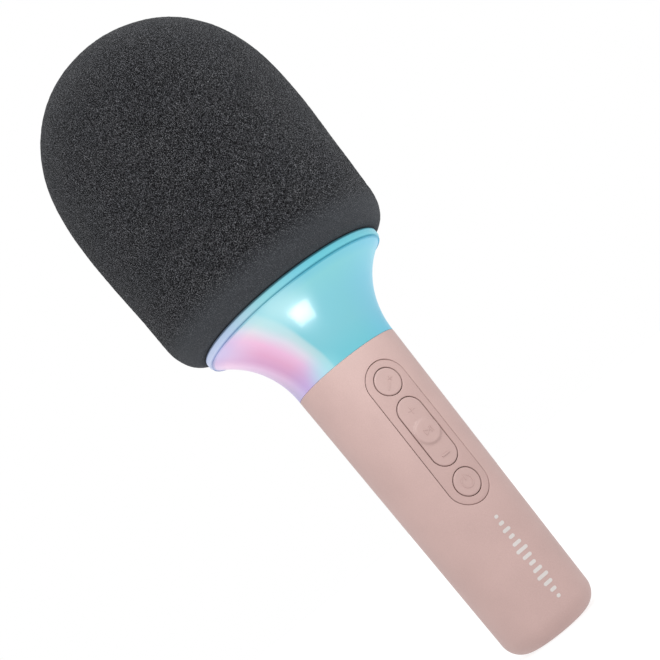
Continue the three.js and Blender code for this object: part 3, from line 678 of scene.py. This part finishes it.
def led_look():
    """Yellowish phosphor under a clear lens, faintly lit."""
    look = Look("led_lens", 0.25, Coat_Weight=0.5)
    phosphor = look.noise(0.7, 2)
    look.colour(look.ramp(phosphor, [(0.3, (0.86, 0.80, 0.45)), (0.7, (0.95, 0.93, 0.75))]))
    look.shader.inputs["Emission Color"].default_value = (0.8, 0.95, 1, 1)
    look.shader.inputs["Emission Strength"].default_value = 0.6
    look.rough(phosphor, 0.2, 0.35)
    look.bump(phosphor, 0.02)
    return look.material


def make_looks():
    """A material for each of the record's slots, and for the panel, the lip and the print."""
    return {
        "windscreen_foam": foam_look(),
        "handle_plastic": moulded("handle_shell", PINK, 0.5,
                                  Specular_IOR_Level=0.35).material,
        "panel_plastic": moulded("panel_insert", PANEL_PINK, 0.5,
                                 Specular_IOR_Level=0.35).material,
        "button_plastic": moulded("button_cap", PANEL_PINK, 0.46, 0.25, 0.012).material,
        "printed_ink": moulded("printed_ink", INK, 0.5, 0.2, 0.01).material,
        # The neck's look holds a painted reflection band and painted shade, the lip's painted
        # shade below the foam
        "cone_plastic": lit_look("tinted_neck_painted_reflection_and_shade", NECK_TINTS_AND_PAINTED_REFLECTION, (1.12, 0.79),
                                 NECK_PATCHES),
        "lip_plastic": lit_look("tinted_lip_painted_shade", LIP_TINTS),
        "white_plastic": moulded("white_plastic", (0.82, 0.82, 0.80), 0.45).material,
        "grey_plastic": moulded("grey_plastic", (0.20, 0.21, 0.22), 0.5).material,
        "black_plastic": moulded("black_plastic", (0.022, 0.023, 0.025), 0.45).material,
        "circuit_board": board_look("green_board", (0.015, 0.14, 0.06), (0.04, 0.25, 0.10)),
        "white_board": board_look("white_board", (0.78, 0.78, 0.76), (0.62, 0.62, 0.58)),
        "led_lens": led_look(),
        "screw_steel": metal("screw_steel", (0.55, 0.55, 0.57), 0.32).material,
        "socket_steel": metal("socket_steel", (0.66, 0.66, 0.68), 0.28, (1, 1, 0.1)).material,
        "speaker_steel": metal("speaker_steel", (0.05, 0.05, 0.055), 0.45, metallic=0.6).material,
        "speaker_paper": cone_paper_look(),
        "magnet_ceramic": moulded("ferrite", (0.06, 0.06, 0.065), 0.55, 0.6, 0.05).material,
        "can_aluminium": metal("aluminium_can", (0.75, 0.76, 0.78), 0.3, (1, 1, 0.08)).material,
        "cell_sleeve": moulded("cell_sleeve", (0.03, 0.16, 0.38), 0.25, 2.0, 0.03).material,
        "black_foam": moulded("foam_pad", (0.02, 0.02, 0.02), 0.9, 0.6, 0.2).material,
        "boot_rubber": moulded("boot_rubber", (0.02, 0.02, 0.02), 0.7, 0.3, 0.03).material,
        "red_wire": moulded("red_insulation", (0.42, 0.02, 0.018), 0.4).material,
        "black_wire": moulded("black_insulation", (0.018, 0.018, 0.018), 0.45).material,
    }


# ----------------------------------------------------------------------- pieces

def spaced(low, high, steps):
    """Evenly spaced values, both ends included."""
    return [low + (high - low) * i / steps for i in range(steps + 1)]


def handle_shell(looks):
    """The tapered tube, with the panel's opening, rounded edges and the charging slot."""
    build = Build()
    low, high = OPENING_ROWS
    flat_r = handle_radius(BASE_FILLET) - BASE_FILLET
    inside_fillet = BASE_FILLET - WALL
    outer = (arc(flat_r, BASE_FILLET, BASE_FILLET, -90, 0, 16)
             + [(handle_radius(z), z) for z in spaced(BASE_FILLET, low, 18)[1:]])
    beside = [(handle_radius(z), z) for z in spaced(low, high, 30)]
    above = ([(handle_radius(z), z) for z in spaced(high, SEAM_Z - SEAM_ROUND, 3)]
             + arc(TOP_R - SEAM_ROUND, SEAM_Z - SEAM_ROUND, SEAM_ROUND, 0, 90, ROUND_STEPS))
    inner_above = [(TOP_R - WALL, SEAM_Z), (handle_radius(high) - WALL, high)]
    inner_below = ([(handle_radius(low) - WALL, low)]
                   + arc(flat_r, FLOOR + inside_fillet, inside_fillet, 0, -90, 8))
    build.turned(outer, HANDLE_COLUMNS, closed=False)
    build.turned(above + inner_above, HANDLE_COLUMNS, closed=False)
    build.turned(inner_below, HANDLE_COLUMNS, closed=False)
    hole = (upright(PANEL_HALF_LENGTH, PANEL_HALF_WIDTH, PANEL_Z),
            PANEL_HALF_WIDTH + PANEL_GAP)
    for depth, offset in ((0, OPENING_ROUND), (WALL, 0)):
        for a, b in zip(beside, beside[1:]):
            ring_a = ring_at(a[0] - depth, a[1], HANDLE_COLUMNS)
            ring_b = ring_at(b[0] - depth, b[1], HANDLE_COLUMNS)
            for i in range(FRONT_COLUMNS, HANDLE_COLUMNS - FRONT_COLUMNS):
                j = i + 1
                build.add([ring_a[i], ring_a[j], ring_b[j], ring_b[i]], [(0, 1, 2, 3)])
        opening_patch(build, hole, depth, offset, [z for _, z in beside])
    loops = [[on_handle(x, z, depth) for x, z in outline(hole[0], hole[1] + offset)]
             for offset, depth in rounded(OPENING_ROUND)]
    loops.append([on_handle(x, z, WALL) for x, z in outline(*hole)])
    for a, b in zip(loops, loops[1:]):
        build.strip(a, b)
    charging_slot(build, flat_r)
    return piece("handle_shell", build, "handle", looks["handle_plastic"],
                 ("handle_tube",))


def opening_patch(build, hole, depth, offset, rows):
    """The handle's skin round the panel's opening, drawn flat and wrapped round the axis."""
    step = 2 * math.pi / HANDLE_COLUMNS
    scale = handle_radius(PANEL_Z)
    low, high = rows[0], rows[-1]
    columns = range(-FRONT_COLUMNS, FRONT_COLUMNS + 1)
    border = ([(i * step * scale, low) for i in columns]
              + [(columns[-1] * step * scale, z) for z in rows[1:]]
              + [(i * step * scale, high) for i in reversed(columns[:-1])]
              + [(columns[0] * step * scale, z) for z in reversed(rows[1:-1])])
    rim = [(scale * math.asin(x / handle_radius(z)), z)
           for x, z in outline(hole[0], hole[1] + offset)]

    def clear(margin):
        def test(u, z):
            x = handle_radius(z) * math.sin(u / scale)
            return distance(hole[0], x, z) > hole[1] + offset + margin
        return test

    inner = [(i * step * scale, z) for i in columns[1:-1] for z in rows[1:-1]]
    flat, triangles = flat_patch([border, rim], [p for p in inner if clear(0.35)(*p)],
                                 clear(0))
    wrapped = []
    for u, z in flat:
        r = handle_radius(z) - depth
        wrapped.append((r * math.sin(u / scale), -r * math.cos(u / scale), z))
    build.add(wrapped, triangles)


def charging_slot(build, flat_r):
    """The flat bottom with its round-ended slot, and the floor inside."""
    middle_y = (SOCKET_LOW.y + SOCKET_HIGH.y) / 2
    radius = (SOCKET_HIGH.y - SOCKET_LOW.y) / 2 + SLOT_GAP
    reach = (SOCKET_HIGH.x - SOCKET_LOW.x) / 2 + SLOT_GAP - radius
    path = [(-reach, middle_y), (reach, middle_y)]
    for z, offset in ((0, SLOT_ROUND), (FLOOR, 0)):
        rim = [(x, y) for x, y, _ in ring_at(flat_r, z, HANDLE_COLUMNS)]
        flat, triangles = flat_patch(
            [rim, outline(path, radius + offset)], [],
            lambda x, y, o=offset: distance(path, x, y) > radius + o)
        build.add([(x, y, z) for x, y in flat], triangles)
    loops = [[(x, y, depth) for x, y in outline(path, radius + offset)]
             for offset, depth in rounded(SLOT_ROUND)]
    loops.append([(x, y, FLOOR) for x, y in outline(path, radius)])
    for a, b in zip(loops, loops[1:]):
        build.strip(a, b)


def panel_insert(looks):
    """The round-ended insert with its three holes."""
    build = Build()
    round_hole = BUTTON_R + BUTTON_GAP
    holes = [([(0, PANEL_Z + dz)], round_hole) for dz in (-BUTTON_PITCH, BUTTON_PITCH)]
    pill = upright(ROCKER_HALF_LENGTH + BUTTON_GAP, round_hole, PANEL_Z, 8)
    holes.append((pill, round_hole))
    outer = (upright(PANEL_HALF_LENGTH - PANEL_GAP, PANEL_HALF_WIDTH - PANEL_GAP, PANEL_Z, 16),
             PANEL_HALF_WIDTH - PANEL_GAP)
    plate(build, outer, holes, on_panel, PANEL_THICKNESS, PANEL_ROUND, spacing=1.1,
          relief=HOLE_RELIEF)
    return piece("panel_insert", build, "handle", looks["panel_plastic"],
                 ("control_panel",))


def mark(build, surface, path, radius, height):
    """A small raised symbol stroke on a surface, sunk a little into it."""
    sunk = 0.08
    plate(build, (path, radius), [], lambda x, z, depth: surface(x, z, depth - height),
          height + sunk, min(0.1, radius * 0.6), spacing=radius)


def ring_path(x, z, radius, start, end, steps):
    """A path of (x, z) points on an arc between two angles in degrees."""
    return [(x + px, z + pz) for px, pz in arc(0, 0, radius, start, end, steps)]


def round_cap(name, z, looks, body, node, strokes):
    """A round button with a softly dished face and raised (path, radius) strokes."""
    build = Build()

    def rise(x, h):
        share = min(1, math.hypot(x, h - z) / BUTTON_R)
        return -BUTTON_DISH * (1 - share ** 2) ** 2

    def face(x, h, depth):
        return on_panel(x, h, depth - rise(x, h))

    plate(build, ([(0, z)], BUTTON_R), [], on_panel, BUTTON_THICKNESS, CAP_ROUND,
          spacing=0.5, rise=rise)
    for path, radius in strokes:
        mark(build, face, path, radius, height=0.16)
    return piece(name, build, body, looks["button_plastic"], (node,))


def rocker_rise(x, z):
    """The raised disc in the middle of the pill, with a soft shoulder."""
    away = math.hypot(x, z - PANEL_Z)
    share = max(0, min(1, (DISC_R + DISC_SHOULDER / 2 - away) / DISC_SHOULDER))
    return DISC_RISE * share * share * (3 - 2 * share)


def rocker_cap(looks):
    """The pill, with its raised disc and the plus, minus, play and pause signs."""
    build = Build()
    outer = (upright(ROCKER_HALF_LENGTH, BUTTON_R, PANEL_Z, 8), BUTTON_R)
    ring_gap = 0.25
    rings = [([(0, PANEL_Z)], DISC_R + k * ring_gap, ring_gap) for k in (-2, -1, 0, 1, 2)]
    plate(build, outer, [], on_panel, ROCKER_THICKNESS, CAP_ROUND, spacing=0.55,
          rise=rocker_rise, rings=rings)

    def face(x, z, depth):
        return on_panel(x, z, depth - rocker_rise(x, z))

    plus_z = PANEL_Z + 8.2
    minus_z = PANEL_Z - 9.0
    arm = 1.15
    gap = 0.42  # between the middle of the plus and its upright strokes
    plus = [[(-arm, 0), (arm, 0)], [(0, gap), (0, arm)], [(0, -arm), (0, -gap)]]
    for stroke in plus:
        mark(build, face, [(x, plus_z + z) for x, z in stroke], 0.2, height=0.12)
    mark(build, face, [(-arm - 0.1, minus_z), (arm + 0.1, minus_z)], 0.3, height=0.3)
    triangle = [(-1.25, PANEL_Z + 0.95), (-1.25, PANEL_Z - 0.95), (0.25, PANEL_Z)]
    for a, b in zip(triangle, triangle[1:] + triangle[:1]):
        mark(build, face, [a, b], 0.16, height=0.16)
    for x in (0.85, 1.5):
        mark(build, face, [(x, PANEL_Z - 0.9), (x, PANEL_Z + 0.9)], 0.16, height=0.16)
    return piece("rocker_cap", build, "volume_key", looks["button_plastic"],
                 ("volume_rocker",))


def button_caps(looks):
    """The effect button with a small wand, and the power button with its sign."""
    z = PANEL_Z + BUTTON_PITCH
    wand = [([(-1.6, z - 2.3), (0.15, z - 0.35)], 0.24),
            ([(0.35, z + 0.6), (1.95, z + 0.6)], 0.16),
            ([(1.15, z + 0.85), (1.15, z + 1.4)], 0.16),
            ([(1.15, z - 0.2), (1.15, z + 0.35)], 0.16)]
    effect = round_cap("effect_cap", z, looks, "effect_key", "effect_button", wand)
    z = PANEL_Z - BUTTON_PITCH
    power = [(ring_path(0, z, 2.0, 125, 415, 24), 0.22),
             ([(0, z + 0.7), (0, z + 2.3)], 0.22)]
    return effect, round_cap("power_cap", z, looks, "power_key", "power_button", power)


def printed_mark(looks):
    """A plain row of level bars, printed up the handle below the panel."""
    build = Build()
    lengths = (1.4, 2.4, 3.4, 4.4, 3.6, 2.6, 3.6, 4.6, 3.4, 2.2, 3.0, 2.0, 1.4)
    pitch = 2.5
    lowest = 9.8
    height = 0.05

    def raised(x, z, depth):
        return on_handle(x, z, depth - height)

    for i, length in enumerate(lengths):
        z = lowest + i * pitch
        reach = length / 2 - BAR_R
        path = [(-reach + 2 * reach * k / 8, z) for k in range(9)]
        plate(build, (path, BAR_R), [], raised, thickness=0.12, edge=0.03, spacing=0.4)
    piece("printed_bars", build, "handle", looks["printed_ink"])


def neck_cone(looks):
    """The concave flare, its spigot, and its crisp rounded top edge."""
    top_r = FLARE_CENTRE_R - FLARE_R * math.cos(math.radians(FLARE_ANGLE))
    top_z = GROOVE_Z - GROOVE
    spigot_r = TOP_R - WALL - 0.3
    spigot_bore_r = spigot_r - 1.3
    spigot_bore_top = 109.0
    seam_gap = 0.05
    seam_round = 0.1
    top_round = 0.25
    floor_z = CONE_LOW.z
    floor_top = floor_z + 1.8
    floor_hole_r = 9.2
    outside = arc(FLARE_CENTRE_R, SEAM_Z, FLARE_R, 180, 180 - FLARE_ANGLE, 40)
    inside = arc(FLARE_CENTRE_R, SEAM_Z, FLARE_R + WALL, 127, 176, 20)
    profile = (arc(TOP_R - seam_round, SEAM_Z + seam_gap + seam_round, seam_round, -90, -20, 3)
               + outside[1:]
               + arc(top_r - 0.1, top_z - top_round, top_round, 10, 90, 4)
               + inside
               + [(spigot_bore_r, spigot_bore_top), (spigot_bore_r, floor_top),
                  (floor_hole_r, floor_top), (floor_hole_r, floor_z), (spigot_r, floor_z),
                  (spigot_r, SEAM_Z + seam_gap)])
    build = Build()
    build.turned(profile, NECK_COLUMNS)
    return piece("neck_cone", build, "handle", looks["cone_plastic"],
                 ("light_cone",), 30)


def rim_lip(looks):
    """The thin lip under the foam, above its shadow groove, with the collar inside."""
    inner = 28.6
    outer = 30.8
    top = FOOT_Z - 0.25
    build = Build()
    build.turned(softened([
        (inner, GROOVE_Z, 0.2), (RIM_R - 0.9, GROOVE_Z, 0), (RIM_R, GROOVE_Z + 0.25, 0.45),
        (RIM_R, top, 0.7), (outer, top, 0.3), (outer, RIM_HIGH.z, 0.4),
        (inner, RIM_HIGH.z, 0.4)]), NECK_COLUMNS)
    return piece("rim_lip", build, "handle", looks["lip_plastic"],
                 ("rim_ring",))


def foam_grain(point):
    """How far the foam's skin stands out at a point, in millimetres: pores and soft lumps."""
    p = Vector(point)
    pores = noise.noise(p / 0.95) + 0.6 * noise.noise(p / 0.55)
    lumps = noise.noise(p / 14)
    return 0.09 * pores + 0.18 * lumps


def foam_profile():
    """The foam's outside, from where it rests on the rim to the top: foot, side and dome."""
    foot_steps = 28
    side_steps = 64
    dome_steps = 96
    foot = []
    for i in range(foot_steps + 1):
        a = math.pi / 2 * i / foot_steps
        foot.append((FOAM_UNDER_R + (FOAM_LOW_R - FOAM_UNDER_R) * math.sin(a),
                     FOAM_LOW_Z - (FOAM_LOW_Z - FOOT_Z) * math.cos(a)))
    side = between((FOAM_LOW_R, FOAM_LOW_Z), (FOAM_R, FOAM_WIDEST_Z), side_steps)
    dome = []
    for i in range(1, dome_steps + 1):
        share = math.sin(math.pi / 2 * i / dome_steps)
        dome.append((FOAM_R * max(0, 1 - share ** DOME_POWER) ** 0.5,
                     FOAM_WIDEST_Z + (FOAM_TOP_Z - FOAM_WIDEST_Z) * share))
    return foot + side + dome


def grainy_ring(r, z):
    """One ring of the foam's skin, moved out by the grain; smooth where it meets the rim."""
    fade = min(1, r / 3) if z >= FOOT_Z + 0.3 else 0
    moved = []
    for x, y, h in ring_at(r, z, FOAM_COLUMNS):
        out = foam_grain((x, y, h)) * fade
        away = Vector((x, y, (h - SHOULDER_Z + 20) if h > FOAM_WIDEST_Z else 0))
        away = away.normalized() if away.length else Vector((0, 0, 1))
        moved.append((x + away.x * out, y + away.y * out, h + away.z * out))
    return moved


def foam_head(looks):
    """The pull-off foam: a domed body with a rounded foot, grainy outside, bored inside."""
    grainy = [grainy_ring(r, z) for r, z in foam_profile()]
    bore = [(FOAM_BORE_R * math.cos(math.radians(a)),
             SHOULDER_Z + FOAM_BORE_DOME * math.sin(math.radians(a)))
            for a in range(90, -1, -6)]
    mouth = ring_at(FOAM_BORE_R, FOOT_Z, FOAM_COLUMNS)
    inner = [ring_at(max(r, 0), z, FOAM_COLUMNS) for r, z in bore] + [mouth, grainy[0]]
    build = Build()
    for rings in (grainy, inner):
        for a, b in zip(rings, rings[1:]):
            build.strip(a, b)
    obj = piece("foam_head", build, "windscreen", looks["windscreen_foam"],
                ("foam_windscreen",), 60)
    return obj


def bar(build, path, width, closed=False):
    """A rounded bar of the basket along a path of (point, outward) pairs."""
    loops = []
    count = len(path)
    for i, (point, outward) in enumerate(path):
        ahead = path[(i + 1) % count if closed else min(i + 1, count - 1)][0]
        behind = path[i - 1 if closed or i else 0][0]
        along = (ahead - behind).normalized()
        across = along.cross(outward).normalized()
        loop = []
        for a in full_turn(12):
            c, s = math.cos(a), math.sin(a)
            square = (abs(c) ** 4 + abs(s) ** 4) ** -0.25
            loop.append(tuple(point + across * width / 2 * c * square
                              + outward * BASKET_DEPTH / 2 * s * square))
        loops.append(loop)
    pairs = list(zip(loops, loops[1:]))
    if closed:
        pairs.append((loops[-1], loops[0]))
    for a, b in pairs:
        build.strip(a, b)
    if not closed:
        for end in (loops[0], loops[-1]):
            build.add(end, [tuple(range(len(end)))])


def basket_cage(looks):
    """The grille under the foam: skirt, ribs, rings, a fine crown and the capsule collar."""
    outer = BASKET_HIGH.x
    crown = BASKET_HIGH.z - SHOULDER_Z
    middle_r = outer - BASKET_DEPTH / 2
    middle_crown = crown - BASKET_DEPTH / 2
    thin = 1.4
    wide = 2.6
    build = Build()
    build.turned(softened([
        (SKIRT_INNER_R, FOOT_Z, 0.2), (outer, FOOT_Z, 0.3), (outer, SKIRT_TOP_Z, 0.5),
        (SKIRT_INNER_R, SKIRT_TOP_Z, 0.5)]), 160)

    def on_wall(turn, z):
        """The (point, outward) pair in the middle of the wall at an angle and a height."""
        rise = max(z - SHOULDER_Z, 0)
        r = middle_r * math.sqrt(max(0, 1 - (rise / middle_crown) ** 2))
        out = Vector((r / middle_r ** 2, rise / middle_crown ** 2)).normalized()
        aside = Vector((math.sin(turn), -math.cos(turn), 0))
        return aside * r + Vector((0, 0, z)), aside * out.x + Vector((0, 0, out.y))

    heights = [150 + 2.5 * i for i in range(17)]
    heights += [SHOULDER_Z + middle_crown * math.sin(math.radians(a))
                for a in range(3, 84, 4)]
    for turn in full_turn(RIB_COUNT):
        turn += math.pi / RIB_COUNT
        bar(build, [on_wall(turn, z) for z in heights], 1.9)
    for z, width in ((162, thin), (173.5, wide), (182, thin), (193, thin), (207, wide),
                     (219, thin)):
        bar(build, [on_wall(turn, z) for turn in full_turn(96)], width, closed=True)
    cap = arc_dome(outer, crown, 60, 90, 12)
    under = arc_dome(outer - BASKET_DEPTH, crown - BASKET_DEPTH, 90, 60, 12)
    build.turned(cap + under, 96)
    collar = [(COLLAR_R[0], COLLAR_Z[0], 0.2), (COLLAR_R[1], COLLAR_Z[0], 0.2),
              (COLLAR_R[1], COLLAR_Z[1], 0.1), (COLLAR_R[0], COLLAR_Z[1], 0.1)]
    build.turned(softened(collar), 64)
    piece("basket_cage", build, "handle", looks["black_plastic"],
          ("grille_basket",))


def arc_dome(radius, height, start, end, steps):
    """Points on the basket's elliptical crown between two angles in degrees."""
    points = []
    for i in range(steps + 1):
        a = math.radians(start + (end - start) * i / steps)
        points.append((radius * max(0, math.cos(a)), SHOULDER_Z + height * math.sin(a)))
    return points


def dress_cad_nodes(looks):
    """Gives each CAD node that still shows the look of its record slot."""
    slots = {row["node"]: row["material_slot"] for row in frame["record"]["subparts"]}
    for name, obj in frame["nodes"].items():
        if obj.hide_render:
            continue
        obj.data.materials.clear()
        obj.data.materials.append(looks[slots[name]])
        obj.data.shade_smooth()
        obj.data.set_sharp_from_angle(angle=math.radians(30))
        soften = obj.modifiers.new("soften", "BEVEL")
        soften.width = 0.08 * MM
        soften.segments = 2
        soften.limit_method = "ANGLE"
        soften.angle_limit = math.radians(30)


# ---------------------------------------------------------------- camera, light

AZIMUTH = math.radians(-23.3)  # of the camera's view direction
CAMERA_RIGHT = 3.23  # millimetres from the microphone's axis
CAMERA_BACK = 420.0
CAMERA_HEIGHT = 55.3
CAMERA_TILT = math.radians(8.75)
CAMERA_ROLL = math.radians(38.85)
LENS = 70.4


def camera():
    """Looks a little up at the microphone and rolls, so that its head is at the upper left."""
    right = Vector((math.cos(AZIMUTH), math.sin(AZIMUTH), 0))
    ahead = Vector((-math.sin(AZIMUTH), math.cos(AZIMUTH), 0))
    up = Vector((0, 0, 1))
    forward = ahead * math.cos(CAMERA_TILT) + up * math.sin(CAMERA_TILT)
    above = up * math.cos(CAMERA_TILT) - ahead * math.sin(CAMERA_TILT)
    c, s = math.cos(CAMERA_ROLL), math.sin(CAMERA_ROLL)
    image_up = above * c + right * s
    image_right = right * c - above * s
    data = bpy.data.cameras.new("camera")
    data.lens = LENS
    data.sensor_width = 36
    data.clip_start = 0.01
    data.clip_end = 20
    obj = bpy.data.objects.new("camera", data)
    place = right * CAMERA_RIGHT - ahead * CAMERA_BACK + up * CAMERA_HEIGHT
    axes = Matrix((image_right, image_up, -forward)).transposed().to_4x4()
    obj.matrix_world = Matrix.Translation(place * MM) @ axes
    bpy.context.scene.collection.objects.link(obj)
    bpy.context.scene.camera = obj


def softbox(name, place, target, width, height, power):
    """A rectangular lamp that faces a point; its size is in millimetres."""
    data = bpy.data.lights.new(name, "AREA")
    data.shape = "RECTANGLE"
    data.size = width * MM
    data.size_y = height * MM
    data.energy = power
    obj = bpy.data.objects.new(name, data)
    obj.location = place
    obj.rotation_euler = (place - target).to_track_quat("Z", "Y").to_euler()
    obj.visible_camera = False
    bpy.context.scene.collection.objects.link(obj)
    return obj


def only_on(lamp, objects):
    """Lets a lamp light some objects only."""
    lit = bpy.data.collections.new(lamp.name + "_receivers")
    for obj in objects:
        lit.objects.link(obj)
    lamp.light_linking.receiver_collection = lit


def studio(neck, shell, foam):
    """An even pale surround, a soft key, and small lamps for the neck, handle and foam."""
    world = bpy.data.worlds.new("studio")
    world.use_nodes = True
    bpy.context.scene.world = world
    background = world.node_tree.nodes["Background"]
    background.inputs["Color"].default_value = (1, 1, 1, 1)
    background.inputs["Strength"].default_value = 1.0
    head = Vector((0, 0, 130)) * MM
    softbox("key", around(-24, 540, 525), head, 220, 220, 1.05)
    glint = softbox("glint", around(-24.6, 66, 40.5), around(-23.3, 24, 124), 44, 35, 0.62)
    lift = softbox("lift", around(-16, 82, 150), around(-16, 19, 92), 110, 50, 0.045)
    lift.data.color = (0.9, 1.0, 1.0)
    edge = softbox("edge", around(72, 320, 250), around(72, 40, 180), 160, 160, 0.35)
    crown = softbox("crown", around(156, 110, 560), around(0, 0, 200), 200, 200, 0.45)
    only_on(glint, [neck])
    only_on(lift, shell)
    only_on(edge, [foam])
    only_on(crown, [foam])
    glint.visible_diffuse = False


def floor():
    """A plain pale floor, as bright as the pale surround."""
    mesh = bpy.data.meshes.new("floor")
    half = 6.0  # metres
    mesh.from_pydata([(-half, -half, 0), (half, -half, 0), (half, half, 0), (-half, half, 0)],
                     [], [(0, 1, 2, 3)])
    look = Look("pale_floor", 0.9)
    tone = look.noise(40, 2)
    look.colour(look.ramp(tone, [(0.3, (0.24, 0.24, 0.24)), (0.7, (0.26, 0.26, 0.26))]))
    look.shader.inputs["Emission Color"].default_value = (1, 1, 1, 1)
    look.shader.inputs["Emission Strength"].default_value = 0.8
    mesh.materials.append(look.material)
    obj = bpy.data.objects.new("floor", mesh)
    bpy.context.scene.collection.objects.link(obj)


# ------------------------------------------------------------------------- build

looks = make_looks()
shell = [handle_shell(looks), panel_insert(looks), *button_caps(looks), rocker_cap(looks)]
printed_mark(looks)
neck = neck_cone(looks)
rim_lip(looks)
foam = foam_head(looks)
basket_cage(looks)
dress_cad_nodes(looks)
camera()
studio(neck, shell, foam)
floor()
bpy.context.scene.view_settings.view_transform = "Standard"
